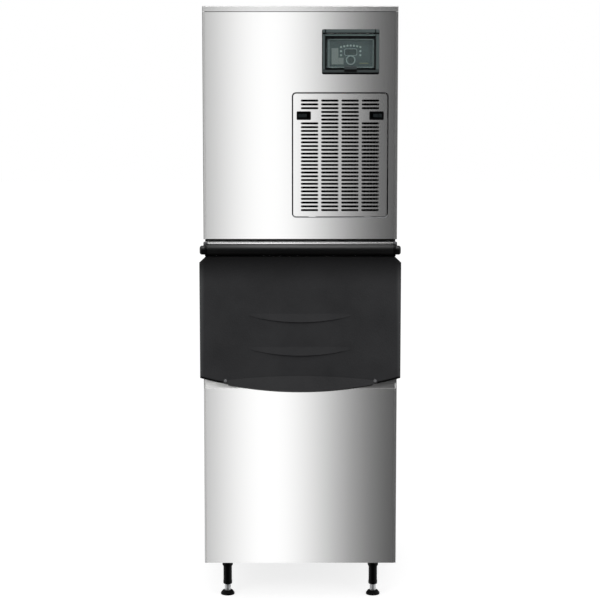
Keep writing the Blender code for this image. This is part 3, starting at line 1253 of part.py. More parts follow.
def arc_drop(x, half, deep):
    """How far an arc of the given half chord and depth has risen at x from its lowest point."""
    radius = (half * half + deep * deep) / (2 * deep)
    return radius - math.sqrt(radius * radius - x * x)


def door_outline():
    """The door's face: chamfered top corners, sides that close in, and an arched lower edge."""
    deep = DOOR_LOWEST - DOOR_CORNER
    half = DOOR_CORNER_HALF
    top = ROLL_RADIUS + GAP
    points = []
    for step in range(ARC_STEPS + 1):
        x = -half + 2 * half * step / ARC_STEPS
        points.append((x, -DOOR_LOWEST + arc_drop(x, half, deep)))
    points += [(DOOR_SHOULDER_HALF, -DOOR_SHOULDER), (DOOR_TOP_HALF, -top),
               (-DOOR_TOP_HALF, -top), (-DOOR_SHOULDER_HALF, -DOOR_SHOULDER)]
    return points


def tray_outline(inset):
    """The hollow of the door shell above its lip."""
    top = ROLL_RADIUS + GAP + inset
    low = LIP_START - inset + DOOR_WALL
    share = (low - DOOR_SHOULDER) / (DOOR_CORNER - DOOR_SHOULDER)
    half = DOOR_SHOULDER_HALF + (DOOR_CORNER_HALF - DOOR_SHOULDER_HALF) * share - inset
    shoulder = DOOR_SHOULDER_HALF - inset
    return [(-half, -low), (half, -low), (shoulder, -DOOR_SHOULDER), (DOOR_TOP_HALF - inset, -top),
            (-DOOR_TOP_HALF + inset, -top), (-shoulder, -DOOR_SHOULDER)]


def smile(ends):
    """A scoop that rises from a straight line to an arched lower step."""
    bm = bmesh.new()
    base = -DOOR_FACE + SMILE_EDGE / 3
    rows = []
    for step in range(SMILE_STEPS + 1):
        x = SMILE_HALF * (2 * step / SMILE_STEPS - 1)
        share = 1 - (x / SMILE_HALF) ** 2
        low = -ends - SMILE_DEEP + arc_drop(x, SMILE_HALF, SMILE_DEEP) - SMILE_EDGE
        high = -ends + SMILE_EDGE
        rise = -DOOR_FACE - SMILE_RISE * share - GAP
        rows.append([bm.verts.new(point) for point in ((x, base, high), (x, -DOOR_FACE - GAP / 2, high - GAP),
                                                       (x, rise, low), (x, base, low - GAP))])
    for before, after in zip(rows, rows[1:]):
        for index in range(4):
            other = (index + 1) % 4
            bm.faces.new((before[index], before[other], after[other], after[index]))
    bm.faces.new(rows[0])
    bm.faces.new(rows[-1][::-1])
    bmesh.ops.recalc_face_normals(bm, faces=bm.faces)
    return bm


def door_shell(hinge):
    """The outer moulding: a tray with a rounded face, two smile scoops and a finger lip."""
    back = DOOR_DEPTH - DOOR_FACE
    slab = prism(door_outline(), "Y", -DOOR_FACE, back)
    softened(slab, DOOR_EDGE_ROUND, 3, lambda a, b: max(a.y, b.y) < -DOOR_FACE + GAP)
    shell = piece("door_shell", slab, DOOR_BLACK, 0.55, parent=hinge)
    boolean(shell, prism(tray_outline(DOOR_WALL), "Y", DOOR_WALL - DOOR_FACE, back + DOOR_WALL))
    boolean(shell, block(-HEAD_WIDTH, LIP_DEPTH - DOOR_FACE, -2 * DOOR_LOWEST, HEAD_WIDTH,
                         back + DOOR_WALL, -LIP_START - DOOR_WALL))
    for ends in SMILE_ENDS:
        boolean(shell, smile(ends), joined=True)


def door_liner(hinge):
    """The foam-filled inner pan, with a plug that stands into the mouth."""
    back = DOOR_DEPTH - DOOR_FACE
    pan = prism(tray_outline(DOOR_WALL + GAP), "Y", DOOR_WALL - DOOR_FACE + GAP, back)
    liner = piece("door_liner", pan, WHITE, 0.5, parent=hinge)
    width = 2 * (MOUTH_HALF - PLUG_MARGIN)
    height = MOUTH_BOTTOM - MOUTH_TOP - 2 * PLUG_MARGIN
    outline = rounded(0, -(MOUTH_TOP + MOUTH_BOTTOM) / 2, width, height, CAVITY_ROUND / 2, 3)
    plug = prism(outline, "Y", back - DOOR_WALL, back + PLUG_DEPTH)
    softened(plug, 2 * DOOR_WALL, 2, lambda a, b: min(a.y, b.y) > back + PLUG_DEPTH - GAP)
    boolean(liner, plug, joined=True)
    ring = rounded(0, -(MOUTH_TOP + MOUTH_BOTTOM) / 2, width + 2 * (SEAL_WIDTH + PLUG_MARGIN),
                   height + 2 * (SEAL_WIDTH + PLUG_MARGIN), CAVITY_ROUND, 3)
    inside = rounded(0, -(MOUTH_TOP + MOUTH_BOTTOM) / 2, width + 2 * PLUG_MARGIN, height + 2 * PLUG_MARGIN,
                     CAVITY_ROUND / 2, 3)
    seal = pierced(ring, [inside], "Y", back + GAP, back + GAP + SEAL_HEIGHT)
    piece("door_seal", seal, (0.05, 0.05, 0.05), 0.7, parent=hinge)


def door_roll(hinge):
    """The thick round hinge bar along the top of the door, with a pin at each end."""
    half = BIN_HALF
    tip = half + PIN_LENGTH - GAP
    edge = 2 * SHEET
    profile = [(0, -tip), (PIN_RADIUS, -tip), (PIN_RADIUS, -half), (ROLL_RADIUS - edge, -half),
               (ROLL_RADIUS, -half + edge), (ROLL_RADIUS, half - edge), (ROLL_RADIUS - edge, half),
               (PIN_RADIUS, half), (PIN_RADIUS, tip), (0, tip)]
    piece("door_roll", revolved(profile, 24, "X"), BLACK, 0.35, parent=hinge)


def door_grip(hinge):
    """The lens-shaped strip screwed to the lower edge, with a lip that turns in under it."""
    lens = []
    deep = DOOR_LOWEST - DOOR_CORNER
    for step in range(GRIP_STEPS + 1):
        x = GRIP_HALF * (2 * step / GRIP_STEPS - 1)
        lens.append((x, -GRIP_LOWEST + arc_drop(x, DOOR_CORNER_HALF, deep)))
    for step in range(GRIP_STEPS + 1):
        x = GRIP_HALF * (1 - 2 * step / GRIP_STEPS)
        lens.append((x, -GRIP_APEX - arc_drop(x, GRIP_HALF, GRIP_RISE)))
    front, back = -GRIP_FACE, -DOOR_FACE - GAP
    grip = piece("door_grip", prism(lens, "Y", front, back), DOOR_BLACK, 0.45, parent=hinge)
    for side in (-1, 1):
        ear = round_outline(side * GRIP_HALF, -GRIP_APEX - GRIP_RISE - GRIP_EAR / 4, GRIP_EAR, 14)
        boolean(grip, prism(ear, "Y", front + GAP, back - GAP / 2), joined=True)
    lip = []
    short = GRIP_HALF - GRIP_EAR
    for edge, order in ((GRIP_LOWEST - GAP / 2, 1), (DOOR_LOWEST + GAP, -1)):
        for step in range(GRIP_STEPS + 1):
            x = order * short * (2 * step / GRIP_STEPS - 1)
            lip.append((x, -edge + arc_drop(x, DOOR_CORNER_HALF, deep)))
    boolean(grip, prism(lip, "Y", front + GRIP_THICK / 2, LIP_DEPTH - DOOR_FACE), joined=True)


# Legs

def leg(name, x, y):
    """A black socket screwed under the bin; the levelling foot screws into it."""
    top = LEG_HEIGHT - GAP
    bore = STEM_RADIUS + GAP
    ceiling = LEG_BOTTOM + STEM_INSIDE + GAP
    plate = LEG_HEIGHT - LEG_PLATE_HEIGHT
    collar = LEG_BOTTOM + LEG_COLLAR_HEIGHT
    profile = [(0, ceiling), (bore, ceiling), (bore, LEG_BOTTOM), (LEG_COLLAR_RADIUS, LEG_BOTTOM),
               (LEG_COLLAR_RADIUS, collar), (LEG_COLLAR_RADIUS - SHEET, collar + SHEET),
               (LEG_TOP_RADIUS, plate), (LEG_PLATE_RADIUS, plate), (LEG_PLATE_RADIUS, top), (0, top)]
    piece(name, moved(revolved(profile, LEG_SIDES), x, y, 0), BLACK, 0.45)


def levelling_foot(name, x, y):
    """A steel stem on a round black pad; its origin is on its screw axis at the floor."""
    top = LEG_BOTTOM + STEM_INSIDE
    neck = STEM_RADIUS
    profile = [(0, 0), (PAD_RADIUS - SHEET, 0), (PAD_RADIUS, SHEET), (PAD_RADIUS, PAD_RIM_HEIGHT),
               (PAD_TOP_RADIUS, PAD_HEIGHT), (neck, PAD_HEIGHT), (neck, top - SHEET), (neck - SHEET, top),
               (0, top)]
    piece(name, revolved(profile, LEG_SIDES), (0.35, 0.35, 0.35), 0.35, 0.8, at=(x, y, 0))


def build():
    for old in list(bpy.data.objects):
        bpy.data.objects.remove(old, do_unlink=True)
    hinge = bpy.data.objects.new("door_hinge_line", None)
    bpy.context.scene.collection.objects.link(hinge)
    hinge.location = (0, at_reach(HINGE_REACH), HINGE_Z)
    hinge.rotation_euler = (-DOOR_SLANT, 0, 0)

    head_side("head_left_panel", -1)
    head_side("head_right_panel", 1)
    head_front_panel()
    head_rear_panel()
    head_base()
    head_top_cover()
    divider_panel()
    tilt_line = (GRILLE_X, HEAD_FACE_Y, GRILLE_BOTTOM)
    grille_panel(tilt_line)
    latch_pair(tilt_line)
    window_frame()
    window_cover((WINDOW_X, HEAD_FACE_Y - WINDOW_PROUD + COVER_THICK / 2,
                  WINDOW_TOP - WINDOW_TOP_BAR - COVER_PIVOT_DROP))
    control_plate()
    control_button()
    condenser()
    fan_shroud()
    fan_and_motor()
    compressor()
    copper_lines()
    evaporator_plate()
    water_curtain((ZONE_X, at_reach(CURTAIN_REACH), EVAPORATOR_TOP + DISTRIBUTOR_RADIUS))
    water_parts()
    service_parts()

    gasket = rectangle(-BIN_HALF, HEAD_FACE_Y, BIN_HALF, HEAD_REAR_Y)
    inside = rectangle(-BIN_HALF + GASKET_WIDTH, HEAD_FACE_Y + GASKET_WIDTH, BIN_HALF - GASKET_WIDTH,
                       HEAD_REAR_Y - GASKET_WIDTH)
    piece("head_gasket", pierced(gasket, [inside], "Z", BIN_TOP + GAP, HEAD_BOTTOM - GAP), BLACK, 0.7)
    bin_side("bin_left_panel", -1)
    bin_side("bin_right_panel", 1)
    bin_panels()
    bin_liner()
    mouth_trim(hinge)
    bin_drain()
    hinge_cap("hinge_cap_left", -1)
    hinge_cap("hinge_cap_right", 1)
    door_roll(hinge)
    door_shell(hinge)
    door_liner(hinge)
    door_grip(hinge)
    for row, y in (("front", at_reach(FRONT_LEG_REACH)), ("rear", HEAD_REAR_Y - REAR_LEG_INSET)):
        for name, side in (("left", -1), ("right", 1)):
            leg("leg_" + row + "_" + name, side * LEG_SPREAD, y)
            levelling_foot("foot_" + row + "_" + name, side * LEG_SPREAD, y)


build()
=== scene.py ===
"""Looks for the ice machine: finishes, fasteners, smooth turned parts, studio and camera.

Metres, +Z up, the front faces -Y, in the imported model's own frame.
"""

import math

import bmesh
import bpy
from mathutils import Matrix, Vector


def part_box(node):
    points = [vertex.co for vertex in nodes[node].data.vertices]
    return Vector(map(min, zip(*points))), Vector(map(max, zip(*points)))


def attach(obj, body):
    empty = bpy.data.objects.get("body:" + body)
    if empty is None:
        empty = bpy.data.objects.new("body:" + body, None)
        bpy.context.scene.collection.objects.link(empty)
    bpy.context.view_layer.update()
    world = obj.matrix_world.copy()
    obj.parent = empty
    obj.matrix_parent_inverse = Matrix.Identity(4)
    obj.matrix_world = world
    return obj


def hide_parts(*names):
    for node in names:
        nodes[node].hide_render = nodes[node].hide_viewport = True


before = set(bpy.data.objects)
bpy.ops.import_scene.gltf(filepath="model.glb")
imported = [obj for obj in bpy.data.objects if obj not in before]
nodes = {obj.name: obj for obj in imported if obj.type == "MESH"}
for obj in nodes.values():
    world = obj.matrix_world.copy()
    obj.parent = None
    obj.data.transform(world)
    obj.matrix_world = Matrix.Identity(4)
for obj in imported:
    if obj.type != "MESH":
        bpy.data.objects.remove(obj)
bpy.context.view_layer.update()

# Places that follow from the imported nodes

HEAD_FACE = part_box("head_front_panel")[0].y
HEAD_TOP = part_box("head_top_cover")[1].z
HALF_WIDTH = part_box("head_top_cover")[1].x


def middle_of(name):
    """The middle of a node's box."""
    low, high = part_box(name)
    return (Vector(low) + Vector(high)) / 2


HINGE = Vector((0.0, middle_of("door_roll").y, middle_of("door_roll").z))
roll_low, roll_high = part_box("door_roll")
COIL_X = middle_of("condenser").x
WINDOW_X = middle_of("window_frame").x
frame_low, frame_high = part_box("window_frame")
plate_low, plate_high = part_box("control_plate")

# Sizes that no node's box gives

DOOR_SLANT = math.radians(23)
GRILLE_TALL = 0.3532  # the grille's face, without the hooks below it
GRILLE_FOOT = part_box("grille_panel")[1].z - GRILLE_TALL
COVER_BAND = 0.0187  # from the top of the window's frame down to the cover's black band of painted shade
SHADED_EDGES_END = 0.272  # painted shade on the steel front's cut edges and slot walls reaches up to here, not onto its folded sides
BIN_BEND = (0.6130, 0.6190)  # where the bin's front panel turns back under the door
TRIM_SILL = 0.6495  # top of the mouth trim's lower bar


# Shader groups: each puts out masks, values and heights only

def add(tree, kind, inputs=None, **settings):
    """A node of that kind, with its settings and the values of its inputs."""
    node = tree.nodes.new(kind)
    for name, value in settings.items():
        setattr(node, name, value)
    for name, value in (inputs or {}).items():
        node.inputs[name].default_value = value
    return node


def group(name, inputs, outputs):
    """An empty shader group with named float or vector sockets."""
    tree = bpy.data.node_groups.new(name, "ShaderNodeTree")
    for label, kind, value in inputs:
        socket = tree.interface.new_socket(label, in_out="INPUT", socket_type=kind)
        if value is not None:
            socket.default_value = value
    for label in outputs:
        tree.interface.new_socket(label, in_out="OUTPUT", socket_type="NodeSocketFloat")
    return tree, tree.nodes.new("NodeGroupInput"), tree.nodes.new("NodeGroupOutput")


def spread(tree, source, low, high):
    """Maps a 0 to 1 socket onto low to high, each a number or a socket."""
    ramp = add(tree, "ShaderNodeMapRange")
    tree.links.new(source, ramp.inputs["Value"])
    for label, value in (("To Min", low), ("To Max", high)):
        if isinstance(value, (int, float)):
            ramp.inputs[label].default_value = value
        else:
            tree.links.new(value, ramp.inputs[label])
    return ramp.outputs["Result"]


def brushed_sheet_group():
    """Fine straight brush lines and broad wiped patches on stainless sheet."""
    tree, ins, outs = group("brushed_sheet", [("Vector", "NodeSocketVector", None),
                                              ("Smooth", "NodeSocketFloat", 0.28),
                                              ("Rough", "NodeSocketFloat", 0.38)],
                            ["Roughness", "Height", "Tone"])
    lines = add(tree, "ShaderNodeTexNoise", {"Scale": 1.0, "Detail": 3.0, "Roughness": 0.6})
    tree.links.new(ins.outputs["Vector"], lines.inputs["Vector"])
    wiped = add(tree, "ShaderNodeTexNoise", {"Scale": 0.006, "Detail": 2.0, "Roughness": 0.5})
    tree.links.new(ins.outputs["Vector"], wiped.inputs["Vector"])
    both = add(tree, "ShaderNodeMath", operation="MULTIPLY_ADD")
    both.inputs[1].default_value = 0.65
    tree.links.new(lines.outputs["Fac"], both.inputs[0])
    part = add(tree, "ShaderNodeMath", operation="MULTIPLY")
    part.inputs[1].default_value = 0.35
    tree.links.new(wiped.outputs["Fac"], part.inputs[0])
    tree.links.new(part.outputs[0], both.inputs[2])
    rough = spread(tree, both.outputs[0], ins.outputs["Smooth"], ins.outputs["Rough"])
    tree.links.new(rough, outs.inputs["Roughness"])
    tree.links.new(lines.outputs["Fac"], outs.inputs["Height"])
    tree.links.new(both.outputs[0], outs.inputs["Tone"])
    return tree


def moulded_skin_group():
    """The fine pebbled skin of moulded plastic, with a faint change of gloss over broad areas."""
    tree, ins, outs = group("moulded_skin", [("Vector", "NodeSocketVector", None),
                                             ("Pebble Scale", "NodeSocketFloat", 900.0),
                                             ("Smooth", "NodeSocketFloat", 0.4),
                                             ("Rough", "NodeSocketFloat", 0.55)],
                            ["Roughness", "Height", "Tone"])
    pebble = add(tree, "ShaderNodeTexVoronoi", {"Randomness": 1.0}, feature="SMOOTH_F1")
    tree.links.new(ins.outputs["Vector"], pebble.inputs["Vector"])
    tree.links.new(ins.outputs["Pebble Scale"], pebble.inputs["Scale"])
    broad = add(tree, "ShaderNodeTexNoise", {"Scale": 9.0, "Detail": 4.0, "Roughness": 0.55})
    tree.links.new(ins.outputs["Vector"], broad.inputs["Vector"])
    rough = spread(tree, broad.outputs["Fac"], ins.outputs["Smooth"], ins.outputs["Rough"])
    tree.links.new(rough, outs.inputs["Roughness"])
    tree.links.new(pebble.outputs["Distance"], outs.inputs["Height"])
    tree.links.new(broad.outputs["Fac"], outs.inputs["Tone"])
    return tree


def spangle_group():
    """The flower pattern of zinc-coated sheet."""
    tree, ins, outs = group("zinc_spangle", [("Vector", "NodeSocketVector", None),
                                             ("Scale", "NodeSocketFloat", 90.0)],
                            ["Roughness", "Tone"])
    flower = add(tree, "ShaderNodeTexVoronoi", {"Randomness": 1.0}, feature="F1")
    tree.links.new(ins.outputs["Vector"], flower.inputs["Vector"])
    tree.links.new(ins.outputs["Scale"], flower.inputs["Scale"])
    shade = add(tree, "ShaderNodeSeparateColor")
    tree.links.new(flower.outputs["Color"], shade.inputs["Color"])
    tree.links.new(spread(tree, shade.outputs["Red"], 0.34, 0.52), outs.inputs["Roughness"])
    tree.links.new(shade.outputs["Green"], outs.inputs["Tone"])
    return tree


BRUSHED = brushed_sheet_group()
MOULDED = moulded_skin_group()
SPANGLE = spangle_group()


# Materials

def material(name):
    """A new node material, its tree and its Principled shader."""
    made = bpy.data.materials.new(name)
    made.use_nodes = True
    return made, made.node_tree, made.node_tree.nodes["Principled BSDF"]


def object_vector(tree, scale=(1.0, 1.0, 1.0)):
    """Object coordinates, stretched by a Mapping node."""
    place = add(tree, "ShaderNodeTexCoord")
    stretch = add(tree, "ShaderNodeMapping", {"Scale": scale})
    tree.links.new(place.outputs["Object"], stretch.inputs["Vector"])
    return stretch.outputs["Vector"]


def use(tree, made_group, vector, inputs=None):
    """Places a shader group in a material with that material's own values."""
    node = add(tree, "ShaderNodeGroup", node_tree=made_group)
    for name, value in (inputs or {}).items():
        node.inputs[name].default_value = value
    tree.links.new(vector, node.inputs["Vector"])
    return node


def two_tones(tree, shader, mask, first, second):
    """Base Color moves from first to second with the mask."""
    mix = add(tree, "ShaderNodeMix", data_type="RGBA")
    mix.inputs[6].default_value = (*first, 1)
    mix.inputs[7].default_value = (*second, 1)
    tree.links.new(mask, mix.inputs[0])
    tree.links.new(mix.outputs[2], shader.inputs["Base Color"])
    return mix.outputs[2]


def bumped(tree, shader, height, depth, strength=0.3):
    """Tilts the shader's normal with a height socket; depth is in metres."""
    bump = add(tree, "ShaderNodeBump", {"Strength": strength, "Distance": depth})
    tree.links.new(height, bump.inputs["Height"])
    tree.links.new(bump.outputs["Normal"], shader.inputs["Normal"])


def edge_mask(tree, low, high):
    """0 where the surface faces the front or rear, 1 where it is a cut or folded edge."""
    facing = add(tree, "ShaderNodeTexCoord")
    axes = add(tree, "ShaderNodeSeparateXYZ")
    tree.links.new(facing.outputs["Normal"], axes.inputs["Vector"])
    size = add(tree, "ShaderNodeMath", operation="ABSOLUTE")
    tree.links.new(axes.outputs["Y"], size.inputs[0])
    ramp = add(tree, "ShaderNodeMapRange", {"From Min": low, "From Max": high, "To Min": 1.0, "To Max": 0.0})
    tree.links.new(size.outputs[0], ramp.inputs["Value"])
    return ramp.outputs["Result"]


def beyond(tree, axis, limit, below=True):
    """1 where the object's coordinate on that axis lies past the limit."""
    place = add(tree, "ShaderNodeTexCoord")
    axes = add(tree, "ShaderNodeSeparateXYZ")
    tree.links.new(place.outputs["Object"], axes.inputs["Vector"])
    past = add(tree, "ShaderNodeMath", operation="LESS_THAN" if below else "GREATER_THAN")
    past.inputs[1].default_value = limit
    tree.links.new(axes.outputs[axis], past.inputs[0])
    return past.outputs[0]


def times(tree, first, second):
    """The product of two masks."""
    both = add(tree, "ShaderNodeMath", operation="MULTIPLY")
    tree.links.new(first, both.inputs[0])
    tree.links.new(second, both.inputs[1])
    return both.outputs[0]


def between(tree, axis, low, high):
    """1 where the object's coordinate on that axis lies between two limits."""
    return times(tree, beyond(tree, axis, high), beyond(tree, axis, low, False))


def eased(tree, source, axis, start, end):
    """A smooth rise from 0 at start to 1 at end, along one axis of a coordinate output."""
    place = add(tree, "ShaderNodeTexCoord")
    axes = add(tree, "ShaderNodeSeparateXYZ")
    tree.links.new(place.outputs[source], axes.inputs["Vector"])
    ramp = add(tree, "ShaderNodeMapRange", {"From Min": start, "From Max": end}, interpolation_type="SMOOTHSTEP")
    tree.links.new(axes.outputs[axis], ramp.inputs["Value"])
    return ramp.outputs["Result"]


def either(tree, masks):
    """The largest of several masks."""
    result = masks[0]
    for mask in masks[1:]:
        most = add(tree, "ShaderNodeMath", operation="MAXIMUM")
        tree.links.new(result, most.inputs[0])
        tree.links.new(mask, most.inputs[1])
        result = most.outputs[0]
    return result


def overlaid(made, mask_of, colour):
    """Lays a plain colour over a material's own wherever the mask is 1."""
    tree = made.node_tree
    shader = tree.nodes["Principled BSDF"]
    under = shader.inputs["Base Color"].links[0].from_socket
    mix = add(tree, "ShaderNodeMix", data_type="RGBA")
    mix.inputs[7].default_value = (*colour, 1)
    tree.links.new(mask_of(tree), mix.inputs[0])
    tree.links.new(under, mix.inputs[6])
    tree.links.new(mix.outputs[2], shader.inputs["Base Color"])


def brushed_steel(name, grain, smooth=0.13, rough=0.21, tone=0.66, painted_shade_edges=False):
    """Stainless sheet; grain stretches the brush lines along its smallest entry."""
    made, tree, shader = material(name)
    shader.inputs["Metallic"].default_value = 1.0
    lines = use(tree, BRUSHED, object_vector(tree, grain), {"Smooth": smooth, "Rough": rough})
    two_tones(tree, shader, lines.outputs["Tone"], (tone - 0.02, tone - 0.02, tone - 0.022),
              (tone + 0.03, tone + 0.03, tone + 0.028))
    # Painted shade: faces that don't face the front, the cut edges and the grille's slot walls, are painted dark
    if painted_shade_edges:
        overlaid(made, lambda tree: times(tree, edge_mask(tree, 0.45, 0.8), between(tree, "X", -SHADED_EDGES_END, SHADED_EDGES_END)),
                 (0.02, 0.022, 0.024))
    tree.links.new(lines.outputs["Roughness"], shader.inputs["Roughness"])
    bumped(tree, shader, lines.outputs["Height"], 0.00002, 0.15)
    return made


def moulded(name, first, second, smooth, rough, scale=900.0, depth=0.00006, strength=0.25, shine=0.5):
    """Moulded plastic or rubber with a pebbled skin."""
    made, tree, shader = material(name)
    shader.inputs["Specular IOR Level"].default_value = shine
    skin = use(tree, MOULDED, object_vector(tree),
               {"Pebble Scale": scale, "Smooth": smooth, "Rough": rough})
    two_tones(tree, shader, skin.outputs["Tone"], first, second)
    tree.links.new(skin.outputs["Roughness"], shader.inputs["Roughness"])
    bumped(tree, shader, skin.outputs["Height"], depth, strength)
    return made


def zinc_sheet(name, tone=0.52):
    """Galvanised sheet, grey-blue with its flowers."""
    made, tree, shader = material(name)
    shader.inputs["Metallic"].default_value = 1.0
    flowers = use(tree, SPANGLE, object_vector(tree))
    two_tones(tree, shader, flowers.outputs["Tone"], (tone - 0.05, tone - 0.04, tone - 0.035),
              (tone + 0.05, tone + 0.055, tone + 0.06))
    tree.links.new(flowers.outputs["Roughness"], shader.inputs["Roughness"])
    return made


def plain_metal(name, colour, smooth, rough, metallic=1.0, scale=60.0):
    """Machined, drawn or painted metal with a faint change of gloss."""
    made, tree, shader = material(name)
    shader.inputs["Metallic"].default_value = metallic
    cloud = add(tree, "ShaderNodeTexNoise", {"Scale": scale, "Detail": 3.0})
    tree.links.new(object_vector(tree), cloud.inputs["Vector"])
    tree.links.new(spread(tree, cloud.outputs["Fac"], smooth, rough), shader.inputs["Roughness"])
    two_tones(tree, shader, cloud.outputs["Fac"], tuple(0.9 * c for c in colour),
              tuple(min(1, 1.08 * c) for c in colour))
    return made


def finned_coil(name):
    """Black-coated fins, their black also painted shade for the dark inside, between zinc end plates, with copper
    bends outside them.
    """
    fins_end, plates_end = 0.1086, 0.1103
    made, tree, shader = material(name)
    shader.inputs["Specular IOR Level"].default_value = 0.05
    cloud = add(tree, "ShaderNodeTexNoise", {"Scale": 60.0, "Detail": 3.0})
    tree.links.new(object_vector(tree), cloud.inputs["Vector"])
    # Painted shade: the fins are near black, dark as the unlit inside behind the grille
    two_tones(tree, shader, cloud.outputs["Fac"], (0.002, 0.0022, 0.0025), (0.005, 0.0055, 0.006))
    tree.links.new(spread(tree, cloud.outputs["Fac"], 0.35, 0.5), shader.inputs["Roughness"])

    def outside(tree, reach):
        """1 further than reach from the coil's middle, to either side."""
        return either(tree, [beyond(tree, "X", COIL_X - reach), beyond(tree, "X", COIL_X + reach, False)])

    overlaid(made, lambda tree: outside(tree, fins_end), (0.62, 0.63, 0.64))
    overlaid(made, lambda tree: outside(tree, plates_end), (0.74, 0.40, 0.25))
    tree.links.new(outside(tree, fins_end), shader.inputs["Metallic"])
    return made


def clear_cover(name, colour, roughness):
    """Smoked clear plastic: tinted transmission, with faint wiped streaks in its gloss."""
    made, tree, shader = material(name)
    shader.inputs["Base Color"].default_value = (*colour, 1)
    shader.inputs["Transmission Weight"].default_value = 1.0
    shader.inputs["IOR"].default_value = 1.49
    wiped = add(tree, "ShaderNodeTexNoise", {"Scale": 35.0, "Detail": 4.0})
    tree.links.new(object_vector(tree, (1.0, 1.0, 0.3)), wiped.inputs["Vector"])
    tree.links.new(spread(tree, wiped.outputs["Fac"], roughness, roughness + 0.06), shader.inputs["Roughness"])
    return made


UPRIGHT_GRAIN = (1100.0, 1100.0, 7.0)
LEVEL_GRAIN = (1100.0, 7.0, 1100.0)
steel = brushed_steel("brushed_stainless", UPRIGHT_GRAIN, painted_shade_edges=True)
steel_plain = brushed_steel("brushed_stainless_sheet", UPRIGHT_GRAIN)
# The deck's stainless is a lighter copy of the front's, a painted highlight that makes its bend shine brighter
steel_deck = brushed_steel("stainless_deck_painted_highlight", UPRIGHT_GRAIN, smooth=0.16, rough=0.24, tone=0.92)
steel_side = brushed_steel("brushed_stainless_side", UPRIGHT_GRAIN, smooth=0.18, rough=0.28, tone=0.60)
steel_top = brushed_steel("brushed_stainless_top", LEVEL_GRAIN, smooth=0.22, rough=0.32, tone=0.64)
zinc = zinc_sheet("galvanised_sheet")
copper = plain_metal("drawn_copper", (0.78, 0.40, 0.24), 0.22, 0.38)
brass = plain_metal("turned_brass", (0.72, 0.58, 0.30), 0.25, 0.4)
tinned = plain_metal("tinned_plate", (0.74, 0.71, 0.67), 0.22, 0.34)
bright_zinc = plain_metal("zinc_plated_steel", (0.62, 0.63, 0.64), 0.24, 0.38, metallic=0.8, scale=200.0)
dull_zinc = plain_metal("passivated_screw_steel", (0.20, 0.20, 0.21), 0.3, 0.45, metallic=0.3, scale=200.0)
black_paint = plain_metal("compressor_black_paint", (0.016, 0.016, 0.017), 0.28, 0.42, metallic=0.0, scale=25.0)
motor_paint = plain_metal("motor_dark_paint", (0.05, 0.05, 0.055), 0.4, 0.55, metallic=0.0, scale=40.0)
fan_grey = plain_metal("fan_grey_paint", (0.42, 0.43, 0.44), 0.35, 0.5, metallic=0.0)
lens_dark = plain_metal("display_lens_dark", (0.085, 0.102, 0.104), 0.05, 0.09, metallic=0.0)
coil_black_for_shade = finned_coil("black_fins_for_shade_zinc_ends")
cover_smoked = clear_cover("smoked_clear_cover", (0.66, 0.74, 0.73), 0.03)

door_black = moulded("door_black_plastic", (0.0175, 0.0177, 0.0190), (0.0375, 0.0378, 0.0398), 0.52, 0.62,
                     scale=200.0, depth=0.0004, strength=0.6, shine=0.12)
grip_black = moulded("grip_black_plastic", (0.0200, 0.0202, 0.0216), (0.0400, 0.0402, 0.0422), 0.46, 0.56,
                     scale=200.0, depth=0.0004, strength=0.6, shine=0.25)
satin_black = moulded("satin_black_plastic", (0.0008, 0.0008, 0.001), (0.0018, 0.0018, 0.002), 0.36, 0.46,
                      scale=1200.0, depth=0.00003)
nylon_black = moulded("black_nylon", (0.0008, 0.0008, 0.001), (0.002, 0.002, 0.0022), 0.38, 0.52,
                      scale=1000.0, depth=0.00008, shine=0.15)
trim_black = moulded("mouth_trim_plastic", (0.004, 0.004, 0.0045), (0.008, 0.008, 0.0085), 0.4, 0.5, scale=1000.0)
# Black for painted shade: the ring round the grille's opening and the strip in the lid's joint stand in for the
# shadows of those gaps
painted_shadow_black = moulded("painted_shadow_black", (0.002, 0.003, 0.004), (0.004, 0.005, 0.007), 0.4, 0.5)
catch_black = moulded("catch_black_plastic", (0.0010, 0.0012, 0.0014), (0.0022, 0.0025, 0.0028), 0.4, 0.5,
                      scale=1000.0)
latch_grey = moulded("latch_slide_plastic", (0.019, 0.024, 0.026), (0.025, 0.031, 0.033), 0.4, 0.5,
                     scale=1000.0, shine=0.2)
frame_grey = moulded("frame_grey_green_plastic", (0.088, 0.112, 0.112), (0.106, 0.132, 0.131), 0.34, 0.44, shine=0.2)
plate_teal = moulded("control_plate_plastic", (0.125, 0.150, 0.156), (0.145, 0.172, 0.178), 0.42, 0.5, scale=1000.0)
button_grey = moulded("button_plastic", (0.090, 0.110, 0.110), (0.110, 0.132, 0.132), 0.3, 0.4, scale=1200.0)
# The rail's light grey is its own and also a painted highlight, the shine of the cover's hinge above it
rail_grey_highlight = moulded("hinge_rail_plastic", (0.29, 0.34, 0.34), (0.34, 0.39, 0.39), 0.3, 0.4)
lamp_grey = moulded("lamp_lens_grey", (0.78, 0.82, 0.80), (0.84, 0.88, 0.86), 0.25, 0.35)
print_grey = moulded("plate_print_light", (0.66, 0.70, 0.70), (0.72, 0.76, 0.76), 0.5, 0.6)
field_grey = moulded("plate_print_field", (0.47, 0.46, 0.45), (0.52, 0.51, 0.50), 0.5, 0.6)
field_amber = moulded("plate_print_amber", (0.42, 0.38, 0.20), (0.47, 0.43, 0.24), 0.5, 0.6)
white_plastic = moulded("food_white_plastic", (0.74, 0.75, 0.74), (0.80, 0.81, 0.80), 0.40, 0.52, scale=500.0)
curtain_clear = moulded("curtain_milky_plastic", (0.66, 0.71, 0.74), (0.74, 0.78, 0.80), 0.25, 0.38, scale=300.0)
pump_dark = moulded("pump_moulding", (0.025, 0.033, 0.058), (0.035, 0.045, 0.075), 0.4, 0.55)
